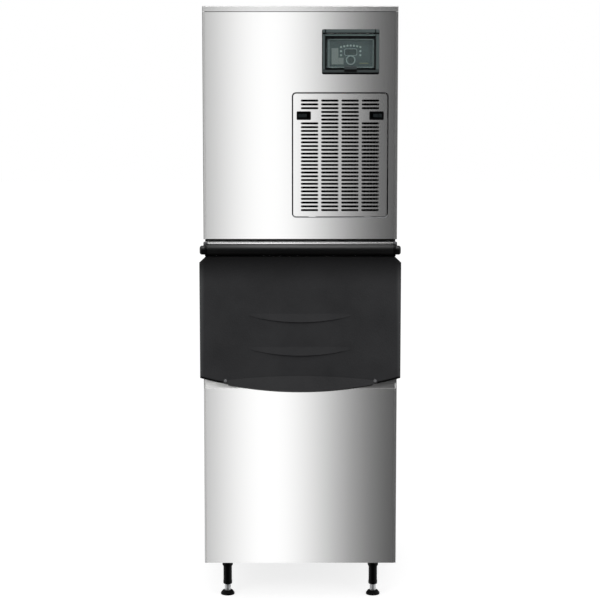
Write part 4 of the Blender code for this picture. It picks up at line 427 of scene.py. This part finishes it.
rubber = moulded("black_rubber", (0.0008, 0.0008, 0.0008), (0.002, 0.002, 0.002), 0.6, 0.75,
                 scale=600.0, depth=0.0001, shine=0.2)
foam_rubber = moulded("black_foam_rubber", (0.0005, 0.0005, 0.0005), (0.0015, 0.0015, 0.0015), 0.8, 0.9,
                      scale=1500.0, depth=0.0002, shine=0.1)


# Painted light and shade on a finish: painted shade in gaps and on undersides, painted highlights on bends

def door_painted_light_and_shade():
    """Painted light and shade: painted highlights on the side rims, painted shade on the top under the bar, and on
    the undersides of the door and its grip.
    """
    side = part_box("door_shell")[1].x
    # Painted highlight: the side rims paler, where the rounded edges would catch the light
    overlaid(door_black, lambda tree: either(tree, [
        eased(tree, "Object", "X", way * (side - 0.0190), way * (side - 0.0020)) for way in (1, -1)]),
        (0.066, 0.068, 0.070))
    # Painted shade: the top of the door darker, in the shadow of the bar above it
    overlaid(door_black, lambda tree: eased(tree, "Object", "Z", HINGE.z - 0.1035, HINGE.z - 0.0135),
             (0.004, 0.004, 0.0045))
    # Painted shade: faces that turn downwards are near black
    for black in (door_black, grip_black):
        overlaid(black, lambda tree: eased(tree, "Normal", "Z", 0.10, -0.15), (0.0008, 0.0008, 0.0008))


def painted_highlight_band(made, zone, light, shade, start):
    """A painted highlight strip that turns to painted shade towards the machine's right, as the studio's light falls
    off.
    """
    overlaid(made, zone, light)
    overlaid(made, lambda tree: times(tree, zone(tree), eased(tree, "Object", "X", start, HALF_WIDTH)), shade)


def painted_highlights_on_bends():
    """Painted highlights, with painted shade towards the right, on the bend at the top of the bin's front panel, the
    trim's lower bar and the gasket's lip.
    """
    def bend(tree):
        return eased(tree, "Object", "Z", *BIN_BEND)

    def sill(tree):
        return beyond(tree, "Z", TRIM_SILL)

    def lip(tree):
        return beyond(tree, "Z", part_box("head_gasket")[0].z + 0.0005)

    # Each zone is painted pale as a highlight, then painted darker towards the right as shade
    painted_highlight_band(steel_plain, bend, (0.96, 0.96, 0.95), (0.16, 0.16, 0.16), -0.02)
    painted_highlight_band(trim_black, sill, (0.96, 0.96, 0.95), (0.14, 0.14, 0.14), -0.02)
    painted_highlight_band(foam_rubber, lip, (0.80, 0.80, 0.79), (0.16, 0.16, 0.16), 0.0)
    # The bend's metal is turned down so its painted highlight reads as plain pale colour
    tree = steel_plain.node_tree
    tree.links.new(spread(tree, bend(tree), 1.0, 0.1), tree.nodes["Principled BSDF"].inputs["Metallic"])


def window_painted_shade():
    """Painted shade on the window: black gaps, edges and margins on its frame and plate, a darker strip above the
    frame's foot; the catch's top is a lighter grey-green.
    """
    left, right, foot_z, top = frame_low.x, frame_high.x, frame_low.z, frame_high.z
    # Painted shade: the frame's left edge, foot, top band, the gaps by the cover and its side faces go near black
    overlaid(frame_grey, lambda tree: either(tree, [
        beyond(tree, "X", left + 0.0022), between(tree, "X", left + 0.0082, left + 0.0114),
        between(tree, "X", right - 0.0122, right - 0.0092), beyond(tree, "Z", foot_z + 0.0056),
        between(tree, "Z", top - 0.0138, top - 0.0093), edge_mask(tree, 0.5, 0.8)]), (0.0004, 0.0006, 0.0008))
    # Painted shade: a darker strip on the frame above its foot
    overlaid(frame_grey, lambda tree: between(tree, "Z", foot_z + 0.0056, foot_z + 0.0150), (0.058, 0.070, 0.070))
    # Painted shade: the plate's margins near black, where the cover's edges shade it
    overlaid(plate_teal, lambda tree: either(tree, [
        beyond(tree, "X", plate_low.x + 0.0040), beyond(tree, "X", plate_high.x - 0.0040, False),
        beyond(tree, "Z", plate_low.z + 0.0050), beyond(tree, "Z", plate_high.z - 0.0040, False)]),
        (0.002, 0.0025, 0.003))
    overlaid(catch_black, lambda tree: beyond(tree, "Z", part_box("cover_catch")[1].z - 0.0080, False),
             (0.050, 0.062, 0.064))


def painted_shade_and_highlight_below():
    """Painted shade on the head panel's lower edge, and a painted highlight on the foot of the grille's edging."""
    overlaid(steel, lambda tree: beyond(tree, "Z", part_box("head_front_panel")[0].z + 0.0012), (0.01, 0.01, 0.01))
    overlaid(painted_shadow_black, lambda tree: beyond(tree, "Z", GRILLE_FOOT + 0.004), (0.30, 0.31, 0.32))


door_painted_light_and_shade()
painted_highlights_on_bends()
window_painted_shade()
painted_shade_and_highlight_below()

FINISHES = {
    steel: ("head_front_panel", "grille_panel"),
    steel_plain: ("bin_front_panel",),
    steel_deck: ("bin_top_deck",),
    steel_side: ("head_left_panel", "head_right_panel", "bin_left_panel", "bin_right_panel"),
    steel_top: ("head_top_cover",),
    zinc: ("head_rear_panel", "head_base", "divider_panel", "electrical_box", "bin_rear_panel", "bin_bottom_panel"),
    door_black: ("door_shell",),
    grip_black: ("door_grip",),
    satin_black: ("door_roll", "hinge_cap_left", "hinge_cap_right"),
    latch_grey: ("latch_slide_left", "latch_slide_right"),
    nylon_black: ("leg_front_left", "leg_front_right", "leg_rear_left", "leg_rear_right", "latch_housing_left",
                  "latch_housing_right", "cable_gland", "fan_shroud"),
    trim_black: ("mouth_trim",),
    catch_black: ("cover_catch",),
    frame_grey: ("window_frame",),
    plate_teal: ("control_plate",),
    button_grey: ("control_button",),
    white_plastic: ("bin_liner", "door_liner", "bin_drain", "water_trough", "water_distributor", "pump_riser"),
    rubber: ("door_seal",),
    foam_rubber: ("head_gasket",),
    pump_dark: ("water_pump",),
    curtain_clear: ("water_curtain",),
    copper: ("discharge_line", "liquid_line", "suction_line"),
    brass: ("water_inlet_valve",),
    tinned: ("evaporator_plate",),
    coil_black_for_shade: ("condenser",),
    black_paint: ("compressor",),
    motor_paint: ("fan_motor",),
    fan_grey: ("fan_blade",),
    bright_zinc: ("foot_front_left", "foot_front_right", "foot_rear_left", "foot_rear_right"),
    cover_smoked: ("window_cover",),
    lens_dark: ("display_lens",),
}
for finish, names in FINISHES.items():
    for name in names:
        nodes[name].data.materials.clear()
        nodes[name].data.materials.append(finish)


# Pieces: each is made by operators, at its place in the model's frame

def joined(name, parts, materials, body, replaced=()):
    """One object from (bmesh, material number) parts, shaded smooth below 35 degrees."""
    whole = bmesh.new()
    for part, number in parts:
        for face in part.faces:
            face.material_index = number
        scratch = bpy.data.meshes.new("scratch")
        part.to_mesh(scratch)
        whole.from_mesh(scratch)
        bpy.data.meshes.remove(scratch)
        part.free()
    mesh = bpy.data.meshes.new(name)
    whole.to_mesh(mesh)
    whole.free()
    mesh.shade_smooth()
    mesh.set_sharp_from_angle(angle=math.radians(35))
    for finish in materials:
        mesh.materials.append(finish)
    item = bpy.data.objects.new(name, mesh)
    bpy.context.scene.collection.objects.link(item)
    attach(item, body)
    if replaced:
        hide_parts(*replaced)
    return item


def placed(bm, matrix):
    """The bmesh, put at its place in the model's frame."""
    bmesh.ops.transform(bm, matrix=matrix, verts=bm.verts)
    return bm


def closed(bm):
    """The bmesh with its seams merged and its faces turned outwards."""
    bmesh.ops.remove_doubles(bm, verts=bm.verts, dist=1e-7)
    bmesh.ops.recalc_face_normals(bm, faces=bm.faces)
    return bm


def turned(profile, sides=48):
    """Spins (radius, height) points round Z; the ends lie on the axis."""
    bm = bmesh.new()
    verts = [bm.verts.new((radius, 0, height)) for radius, height in profile]
    edges = [bm.edges.new(pair) for pair in zip(verts, verts[1:])]
    bmesh.ops.spin(bm, geom=verts + edges, cent=(0, 0, 0), axis=(0, 0, 1), angle=2 * math.pi,
                   steps=sides, use_merge=True)
    return closed(bm)


def tablet(width, height, radius, thick, ring=0.0):
    """A rounded flat shape in the XZ plane, proud of its place towards -Y; ring leaves only its rim."""
    bm = bmesh.new()
    bmesh.ops.create_grid(bm, x_segments=1, y_segments=1, size=0.5)
    bmesh.ops.scale(bm, vec=(width, height, 1), verts=bm.verts)
    bmesh.ops.bevel(bm, geom=bm.verts[:], offset=radius, segments=4, profile=0.5, affect="VERTICES", material=-1)
    if ring:
        inner = bm.faces[:]
        bmesh.ops.inset_region(bm, faces=inner, thickness=ring, use_boundary=True, use_even_offset=True)
        bmesh.ops.delete(bm, geom=inner, context="FACES")
    raised = bmesh.ops.extrude_face_region(bm, geom=bm.faces[:])["geom"]
    bmesh.ops.translate(bm, vec=(0, 0, thick), verts=[v for v in raised if isinstance(v, bmesh.types.BMVert)])
    bmesh.ops.rotate(bm, cent=(0, 0, 0), matrix=Matrix.Rotation(math.pi / 2, 3, "X"), verts=bm.verts)
    return closed(bm)


def pan_screw(radius, height):
    """A pan head with a cross recess, its seat at z = 0."""
    lines = (-1.0, -0.82, -0.52, -0.13, 0.0, 0.13, 0.52, 0.82, 1.0)
    bm = bmesh.new()
    bmesh.ops.create_grid(bm, x_segments=8, y_segments=8, size=1.0)
    for vert in bm.verts:
        vert.co.x = lines[round(4 * vert.co.x) + 4]
        vert.co.y = lines[round(4 * vert.co.y) + 4]
    cross = [face for face in bm.faces
             if min(abs(face.calc_center_median().x), abs(face.calc_center_median().y)) < 0.13
             and max(abs(face.calc_center_median().x), abs(face.calc_center_median().y)) < 0.52]
    for vert in bm.verts:
        x, y = vert.co.x, vert.co.y
        vert.co.x = radius * x * math.sqrt(1 - y * y / 2)
        vert.co.y = radius * y * math.sqrt(1 - x * x / 2)
        share = math.hypot(vert.co.x, vert.co.y) / radius
        vert.co.z = height * (0.55 + 0.45 * math.sqrt(max(0.0, 1 - share ** 4)))
    rim = [edge for edge in bm.edges if edge.is_boundary]
    skirt = bmesh.ops.extrude_edge_only(bm, edges=rim)["geom"]
    for vert in skirt:
        if isinstance(vert, bmesh.types.BMVert):
            vert.co.z = 0.0
    sunk = bmesh.ops.extrude_face_region(bm, geom=cross)["geom"]
    bmesh.ops.delete(bm, geom=[face for face in cross if face.is_valid], context="FACES")
    deep = [v for v in sunk if isinstance(v, bmesh.types.BMVert)]
    bmesh.ops.translate(bm, vec=(0, 0, -0.62 * height), verts=deep)
    bmesh.ops.scale(bm, vec=(0.82, 0.82, 1), verts=deep)
    bmesh.ops.holes_fill(bm, edges=[edge for edge in bm.edges if edge.is_boundary], sides=0)
    return closed(bm)


def helix_ridge(radius, depth, pitch, low, high, steps=20):
    """The ridge of a thread, wound up Z from low to high."""
    bm = bmesh.new()
    bmesh.ops.create_circle(bm, cap_ends=True, segments=3, radius=1.0)
    bmesh.ops.scale(bm, vec=(depth, 0.52 * pitch, 1), verts=bm.verts)
    bmesh.ops.rotate(bm, cent=(0, 0, 0), matrix=Matrix.Rotation(math.pi / 2, 3, "X"), verts=bm.verts)
    tip = max(vert.co.x for vert in bm.verts)
    bmesh.ops.translate(bm, vec=(radius - tip, 0, low), verts=bm.verts)
    turns = (high - low) / pitch
    count = int(turns * steps)
    bmesh.ops.spin(bm, geom=bm.verts[:] + bm.edges[:] + bm.faces[:], cent=(0, 0, 0), axis=(0, 0, 1),
                   angle=2 * math.pi * turns, dvec=(0, 0, (high - low) / count), steps=count, use_merge=False)
    return closed(bm)


# Levelling feet and their sockets

def foot(corner_name, body):
    """A rubber pad under a threaded steel stem."""
    low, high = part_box("foot_" + corner_name)
    place = Matrix.Translation(((low.x + high.x) / 2, (low.y + high.y) / 2, 0))
    pad = turned([(0, 0), (0.0186, 0), (0.0194, 0.0004), (0.0198, 0.0014), (0.0198, 0.0050), (0.0192, 0.0062),
                  (0.0146, 0.0121), (0.0138, 0.0125), (0.0100, 0.0125), (0.0096, 0.0121), (0, 0.0121)])
    joined("foot_pad_" + corner_name, [(placed(pad, place), 0)], [rubber], body,
           ["foot_" + corner_name])
    top = high.z - 0.0002
    stem = turned([(0, 0.0123), (0.0090, 0.0123), (0.0091, 0.0126), (0.0091, 0.0160), (0.0084, 0.0166),
                   (0.0084, top - 0.0012), (0.0074, top), (0, top)], 32)
    ridge = helix_ridge(0.0091, 0.0009, 0.0021, 0.0180, top - 0.0030)
    joined("foot_stem_" + corner_name, [(placed(stem, place), 0), (placed(ridge, place), 0)], [bright_zinc], body,
           ["foot_" + corner_name])


def leg_socket(corner_name):
    """The moulded socket under the bin, with its flange and collar."""
    low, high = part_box("leg_" + corner_name)
    place = Matrix.Translation(((low.x + high.x) / 2, (low.y + high.y) / 2, 0))
    profile = [(0, 0.0672), (0.0094, 0.0672), (0.0094, 0.0324), (0.0098, 0.0320), (0.0122, 0.0320)]
    profile += [(0.0128, 0.0328), (0.0130, 0.0390), (0.0128, 0.0414), (0.0123, 0.0440), (0.0123, 0.0828)]
    profile += [(0.0126, 0.0842), (0.0148, 0.0872), (0.0153, 0.0884), (0.0153, 0.1039), (0.0146, 0.1046), (0, 0.1046)]
    joined("leg_socket_" + corner_name, [(placed(turned(profile), place), 0)], [nylon_black], "cabinet",
           ["leg_" + corner_name])


# Door: the round bar along its top, and the screws of its grip

# Across the door, up its slope and out of its face, from the hinge line
DOOR_PLANE = Matrix(((1, 0, 0, 0),
                     (0, math.sin(DOOR_SLANT), -math.cos(DOOR_SLANT), HINGE.y),
                     (0, math.cos(DOOR_SLANT), math.sin(DOOR_SLANT), HINGE.z),
                     (0, 0, 0, 1)))
QUARTER_TURN_Y = Matrix.Rotation(math.pi / 2, 4, "Y")


def door_bar():
    """The round bar with a journal at each end and a moulded ring near each end."""
    radius = (roll_high.z - roll_low.z) / 2
    journal, journal_end, bar_end, corner = 0.0050, roll_high.x, 0.2748, 0.0030
    profile = [(0, -journal_end), (journal - 0.0006, -journal_end), (journal, 0.0006 - journal_end)]
    profile += [(journal, -bar_end), (radius - corner, -bar_end)]
    profile += [(radius - corner + corner * math.sin(turn), -bar_end + corner - corner * math.cos(turn))
                for turn in (0.35, 0.7, 1.05, 1.4)]
    profile += [(r, -z) for r, z in profile[::-1]]
    parts = [(placed(turned(profile, 72), Matrix.Translation(HINGE) @ QUARTER_TURN_Y), 0)]
    inside, outside, half = radius - 0.0012, radius + 0.0005, 0.0036
    ring = [(inside, -half), (outside - 0.0003, -half), (outside, 0.0006 - half), (outside, half - 0.0006),
            (outside - 0.0003, half), (inside, half), (inside, -half)]
    for ring_x in (-0.2714, 0.2714):
        parts.append((placed(turned(ring, 72), Matrix.Translation((ring_x, HINGE.y, HINGE.z)) @ QUARTER_TURN_Y), 1))
    joined("door_bar", parts, [satin_black, nylon_black], "door", ["door_roll"])


def block(low, high, edge):
    """A box between two corners with its edges rounded."""
    bm = bmesh.new()
    bmesh.ops.create_cube(bm, size=1.0)
    size = Vector(high) - Vector(low)
    bmesh.ops.scale(bm, vec=size, verts=bm.verts)
    bmesh.ops.bevel(bm, geom=bm.edges[:], offset=edge, segments=2, profile=0.5, affect="EDGES", material=-1)
    bmesh.ops.translate(bm, vec=(Vector(low) + Vector(high)) / 2, verts=bm.verts)
    return closed(bm)


def hinge_caps():
    """Rounded caps over the pins, each with its arm on the bin, and a steel ear and web above it."""
    tall, rounding, bore, pin_room = 0.0132, 0.0065, 0.0052, 0.0078
    for name, side in (("left", -1), ("right", 1)):
        low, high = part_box("hinge_cap_" + name)
        inner, outer = sorted((abs(low.x), abs(high.x)))
        profile = [(bore, inner), (tall - 0.0006, inner), (tall, inner + 0.0006), (tall, outer - rounding)]
        profile += [(tall - rounding * (1 - math.cos(turn)), outer - rounding * (1 - math.sin(turn)))
                    for turn in (0.26, 0.52, 0.79, 1.05, 1.31, 1.57)]
        profile += [(0, outer), (0, inner + pin_room), (bore, inner + pin_room), (bore, inner)]
        cap = placed(turned(profile, 40), Matrix.Translation(HINGE) @ Matrix.Rotation(side * math.pi / 2, 4, "Y"))

        def bracket(reach, front, rear, foot_z, top, edge):
            """A block on this side, its front, foot and top measured from the hinge line."""
            near, far = sorted(side * x for x in reach)
            return block((near, HINGE.y + front, HINGE.z + foot_z), (far, rear, HINGE.z + top), edge)

        arm = bracket((inner, inner + 0.0030), 0.0090, high.y, -0.0090, 0.0090, 0.0006)
        ear = bracket((0.2680, inner + 0.0042), 0.0010, HEAD_FACE - 0.0004, 0.0178, 0.0226, 0.0012)
        web = bracket((inner, inner + 0.0042), 0.0016, HEAD_FACE - 0.0010, 0.0090, 0.0220, 0.0008)
        joined("hinge_end_" + name, [(cap, 0), (arm, 0), (ear, 1), (web, 1)], [satin_black, dull_zinc], "cabinet",
               ["hinge_cap_" + name])


def grip_screws():
    """The two screws of the grip, at their places along and across the slope of the door."""
    across, down_slope, proud = 0.212, 0.3879, 0.0055
    for name, side in (("left", -1), ("right", 1)):
        place = DOOR_PLANE @ Matrix.Translation((side * across, -down_slope, proud))
        joined("grip_screw_" + name, [(placed(pan_screw(0.0041, 0.0022), place), 0)], [dull_zinc], "door")


# Control window: the print and lenses on the plate, the cover's black border of painted shade, and its hinge rail

PRINT_THICK = 0.0003
PLATE_FACE = HEAD_FACE + 0.0110
DIAL_X = middle_of("control_button").x
BUTTON_DROP = frame_high.z - middle_of("control_button").z
DISPLAY_DROP = frame_high.z - middle_of("display_lens").z


def on_window(x, drop, y):
    """A place on the control window, measured down from the top of its frame."""
    return Matrix.Translation((x, y, frame_high.z - drop))


def plate_print():
    """Plain shapes on the control plate: its outline, the display's ring, an L-shaped field and a line."""
    shapes = (((0.1284, 0.0806, 0.0020, PRINT_THICK, 0.0017), WINDOW_X + 0.0015, 0.0684, 0),
              ((0.0360, 0.0200, 0.0046, PRINT_THICK, 0.0022), DIAL_X, DISPLAY_DROP, 0),
              ((0.0194, 0.0458, 0.0012, PRINT_THICK), WINDOW_X - 0.0443, 0.0767, 1),
              ((0.0146, 0.0186, 0.0012, PRINT_THICK), WINDOW_X - 0.0270, 0.0903, 1),
              ((0.0250, 0.0022, 0.0006, PRINT_THICK), WINDOW_X + 0.0380, 0.0967, 2))
    parts = [(placed(tablet(*sizes), on_window(x, drop, PLATE_FACE + 0.0001)), tone)
             for sizes, x, drop, tone in shapes]
    joined("plate_print", parts, [print_grey, field_grey, field_amber], "cabinet")


def plate_lenses():
    """Small lamp lenses in an arch over the display and down its sides, and the ring round the button."""
    out = Matrix.Rotation(math.pi / 2, 4, "X")
    reach, arch_drop, arch_fall = 0.0277, 0.0463, 0.0042
    spots = [(reach * step / 3, arch_drop + arch_fall * (step / 3) ** 2) for step in range(-3, 4)]
    spots += [(side * reach, drop) for side in (-1, 1) for drop in (0.0622, 0.0736)]
    lens = [(0, -0.0002), (0.0030, -0.0002), (0.0030, 0.0009), (0.0027, 0.0012), (0.0014, 0.0015), (0, 0.0016)]
    domes = [(placed(turned(lens, 20), on_window(DIAL_X + x, drop, PLATE_FACE) @ out), 0) for x, drop in spots]
    joined("plate_lamps", domes, [lamp_grey], "cabinet")
    ring = turned([(0.0107, 0.0010), (0.0134, 0.0010), (0.0136, 0.0012), (0.0132, 0.0016), (0.0110, 0.0016),
                   (0.0107, 0.0013), (0.0107, 0.0010)], 48)
    joined("button_ring", [(placed(ring, on_window(DIAL_X, BUTTON_DROP, PLATE_FACE) @ out), 0)], [print_grey],
           "cabinet")


def cover_painted_shade():
    """Painted shade in the clear cover, a black border, band and hinge strip; and the rail that its hinge turns on,
    whose light grey also paints the hinge's highlight.
    """
    low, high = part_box("window_cover")
    sheet = high.y - 0.00045
    width = high.x - low.x - 0.0008
    height = frame_high.z - COVER_BAND - (low.z + 0.0006)
    band, strip, strip_drop = 0.0084, 0.0042, 0.0116
    shapes = (((width, height, 0.0010, PRINT_THICK, 0.0016), COVER_BAND + height / 2),
              ((width - 0.0030, band, 0.0004, PRINT_THICK), COVER_BAND + band / 2),
              ((width, strip, 0.0004, PRINT_THICK), strip_drop))
    parts = [(placed(tablet(*sizes), on_window(WINDOW_X, drop, sheet)), 0) for sizes, drop in shapes]
    joined("cover_painted_shade", parts, [nylon_black], "window_lid")
    rail = tablet(plate_high.x - plate_low.x, 0.0050, 0.0008, 0.0012)
    joined("hinge_rail", [(placed(rail, on_window(WINDOW_X, 0.0162, HEAD_FACE)), 0)], [rail_grey_highlight], "cabinet")


# Grille: a black ring round its opening, painted shade for the shadow of the gap there

def grille_painted_shadow_ring():
    low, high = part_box("grille_panel")
    clear, wide, corner = 0.0017, 0.0022, 0.0119
    edging = tablet(high.x - low.x + 2 * (clear + wide), GRILLE_TALL + 2 * (clear + wide), corner, 0.0005, wide)
    place = Matrix.Translation(((low.x + high.x) / 2, HEAD_FACE + 0.0002, GRILLE_FOOT + GRILLE_TALL / 2))
    joined("grille_painted_shadow_ring", [(placed(edging, place), 0)], [painted_shadow_black], "cabinet")


# Head: a black strip in the joint under the lid, painted shade for the shadow in that joint

def lid_painted_shadow_strip():
    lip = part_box("head_top_cover")[0].z
    strip = tablet(0.5450, 0.0017, 0.0004, 0.0004)
    joined("lid_painted_shadow_strip", [(placed(strip, Matrix.Translation((0, HEAD_FACE + 0.0002, lip - 0.0004))), 0)],
           [painted_shadow_black], "cabinet")


# Screws that hold the rear panels and the lid

def rear_screws():
    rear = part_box("head_rear_panel")[1].y
    turn = Matrix.Rotation(-math.pi / 2, 4, "X")

    def screw(x, z):
        return placed(pan_screw(0.0042, 0.0022), Matrix.Translation((x, rear, z)) @ turn), 0

    head = [screw(side * 0.256, z) for side in (-1, 1) for z in (1.062, 1.352, 1.655)]
    bin_panel = [screw(side * 0.258, z) for side in (-1, 1) for z in (0.135, 0.560, 0.985)]
    joined("rear_panel_screws", head + bin_panel, [bright_zinc], "cabinet")
    joined("lid_screws", [screw(x, HEAD_TOP - 0.0085) for x in (-0.200, 0.200)], [bright_zinc], "cabinet")


for corner_name, body in (("front_left", "foot_fl"), ("front_right", "foot_fr"), ("rear_left", "foot_rl"),
                          ("rear_right", "foot_rr")):
    foot(corner_name, body)
    leg_socket(corner_name)
door_bar()
hinge_caps()
grip_screws()
plate_print()
plate_lenses()
cover_painted_shade()
grille_painted_shadow_ring()
lid_painted_shadow_strip()
rear_screws()


# Studio: a pale floor, a plain room and soft lamps

CAMERA_AWAY = 6.0
BAND_X = -0.0905
BAND_AWAY = 1.2
BAND_WIDE = 1.4
BAND_TALL = 2.9
BAND_SPREAD = 0.173
BAND_POWER = 20.8
MIDDLE_HEIGHT = 0.72


def studio_room():
    """A white backdrop; polished metal also sees that the room is dimmer in front and below."""
    world = bpy.data.worlds.new("studio_room")
    bpy.context.scene.world = world
    world.use_nodes = True
    tree = world.node_tree
    tree.nodes.clear()
    out = add(tree, "ShaderNodeOutputWorld")
    white = add(tree, "ShaderNodeBackground", {"Color": (1, 1, 1, 1), "Strength": 1.0})
    plain = add(tree, "ShaderNodeBackground", {"Color": (1, 1, 1, 1), "Strength": 0.5})
    seen = add(tree, "ShaderNodeBackground", {"Strength": 1.0})
    way = add(tree, "ShaderNodeTexCoord")
    axes = add(tree, "ShaderNodeSeparateXYZ")
    tree.links.new(way.outputs["Generated"], axes.inputs["Vector"])
    depth = add(tree, "ShaderNodeMapRange", {"From Min": -0.94, "From Max": -0.2, "To Min": 0.036, "To Max": 0.85},
                interpolation_type="SMOOTHSTEP")
    tree.links.new(axes.outputs["Y"], depth.inputs["Value"])
    below = add(tree, "ShaderNodeMapRange", {"From Min": -0.80, "From Max": -0.35, "To Min": 0.12, "To Max": 1.0},
                interpolation_type="SMOOTHSTEP")
    tree.links.new(axes.outputs["Z"], below.inputs["Value"])
    tree.links.new(times(tree, depth.outputs["Result"], below.outputs["Result"]), seen.inputs["Color"])
    rays = add(tree, "ShaderNodeLightPath")
    first = add(tree, "ShaderNodeMixShader")
    second = add(tree, "ShaderNodeMixShader")
    tree.links.new(rays.outputs["Is Glossy Ray"], first.inputs[0])
    tree.links.new(plain.outputs[0], first.inputs[1])
    tree.links.new(seen.outputs[0], first.inputs[2])
    straight = add(tree, "ShaderNodeMath", operation="MAXIMUM")
    tree.links.new(rays.outputs["Is Camera Ray"], straight.inputs[0])
    tree.links.new(rays.outputs["Is Transmission Ray"], straight.inputs[1])
    tree.links.new(straight.outputs[0], second.inputs[0])
    tree.links.new(first.outputs[0], second.inputs[1])
    tree.links.new(white.outputs[0], second.inputs[2])
    tree.links.new(second.outputs[0], out.inputs["Surface"])


def studio_floor():
    """A wide pale floor that stays white to the camera except where the machine shades it."""
    bm = bmesh.new()
    bmesh.ops.create_grid(bm, x_segments=1, y_segments=1, size=14.0)
    mesh = bpy.data.meshes.new("studio_floor")
    bm.to_mesh(mesh)
    bm.free()
    floor = bpy.data.objects.new("studio_floor", mesh)
    bpy.context.scene.collection.objects.link(floor)
    made, tree, shader = material("pale_floor")
    shader.inputs["Base Color"].default_value = (0.55, 0.55, 0.55, 1)
    shader.inputs["Roughness"].default_value = 0.9
    shader.inputs["Emission Color"].default_value = (1, 1, 1, 1)
    rays = add(tree, "ShaderNodeLightPath")
    lift = add(tree, "ShaderNodeMath", operation="MULTIPLY")
    lift.inputs[1].default_value = 0.75
    tree.links.new(rays.outputs["Is Camera Ray"], lift.inputs[0])
    tree.links.new(lift.outputs[0], shader.inputs["Emission Strength"])
    mesh.materials.append(made)
    floor.visible_glossy = False


def soft_lamp(name, place, aim, size, power, seen_by=("diffuse", "glossy")):
    """A rectangular softbox at place, turned towards aim; the camera never sees it."""
    lamp = bpy.data.lights.new(name, "AREA")
    lamp.shape = "RECTANGLE"
    lamp.size, lamp.size_y = size
    lamp.energy = power
    item = bpy.data.objects.new(name, lamp)
    bpy.context.scene.collection.objects.link(item)
    item.location = place
    item.rotation_euler = (Vector(aim) - Vector(place)).to_track_quat("-Z", "Y").to_euler()
    item.visible_camera = False
    item.visible_diffuse = "diffuse" in seen_by
    item.visible_glossy = "glossy" in seen_by
    return item


def band_panel():
    """A tall panel, bright along its middle, that only the bare metal pieces mirror.

    BAND_X is where the camera sees its reflection; its light falls off to the sides as a bell curve.
    """
    x = BAND_X * (CAMERA_AWAY + BAND_AWAY) / CAMERA_AWAY
    item = soft_lamp("band_panel", (x, HEAD_FACE - BAND_AWAY, MIDDLE_HEIGHT), (x, 0, MIDDLE_HEIGHT),
                     (BAND_WIDE, BAND_TALL), BAND_POWER, ("glossy",))
    item.data.use_nodes = True
    tree = item.data.node_tree
    glow = tree.nodes["Emission"]
    spot = add(tree, "ShaderNodeNewGeometry")
    axes = add(tree, "ShaderNodeSeparateXYZ")
    tree.links.new(spot.outputs["Parametric"], axes.inputs["Vector"])
    off = add(tree, "ShaderNodeMath", operation="SUBTRACT")
    off.inputs[1].default_value = 0.5
    tree.links.new(axes.outputs["X"], off.inputs[0])
    wide = add(tree, "ShaderNodeMath", operation="MULTIPLY")
    wide.inputs[1].default_value = BAND_WIDE / BAND_SPREAD
    tree.links.new(off.outputs[0], wide.inputs[0])
    square = add(tree, "ShaderNodeMath", operation="MULTIPLY")
    tree.links.new(wide.outputs[0], square.inputs[0])
    tree.links.new(wide.outputs[0], square.inputs[1])
    half = add(tree, "ShaderNodeMath", operation="MULTIPLY")
    half.inputs[1].default_value = -0.5
    tree.links.new(square.outputs[0], half.inputs[0])
    fall = add(tree, "ShaderNodeMath", operation="EXPONENT")
    tree.links.new(half.outputs[0], fall.inputs[0])
    tree.links.new(fall.outputs[0], glow.inputs["Strength"])
    sheets = bpy.data.collections.new("stainless_sheets")
    for finish in (steel, steel_plain, steel_deck, steel_side, steel_top, bright_zinc):
        for name in FINISHES[finish]:
            if not nodes[name].hide_render:
                sheets.objects.link(nodes[name])
    item.light_linking.receiver_collection = sheets


def camera():
    """The photograph's view: level with the head's top, 6 m in front of its face, a long lens."""
    lens = bpy.data.cameras.new("photo_view")
    lens.lens = 125.2
    lens.sensor_width = 36.0
    lens.shift_x = -0.0004
    lens.clip_end = 100.0
    item = bpy.data.objects.new("photo_view", lens)
    bpy.context.scene.collection.objects.link(item)
    item.location = (0.0, HEAD_FACE - CAMERA_AWAY, HEAD_TOP)
    item.rotation_euler = (math.radians(90 - 8.024), 0.0, 0.0)
    bpy.context.scene.camera = item


studio_room()
studio_floor()
camera()
band_panel()
soft_lamp("key_softbox", (-1.6, -2.8, 1.5), (0, 0, 0.9), (1.6, 1.6), 24, ("diffuse",))
soft_lamp("fill_softbox", (2.0, -2.4, 1.2), (0, 0, 0.9), (1.6, 2.0), 14, ("diffuse",))
soft_lamp("top_softbox", (0, -0.9, 3.4), (0, -0.3, 0.9), (1.6, 1.6), 26, ("glossy",))
bpy.context.scene.view_settings.view_transform = "Standard"
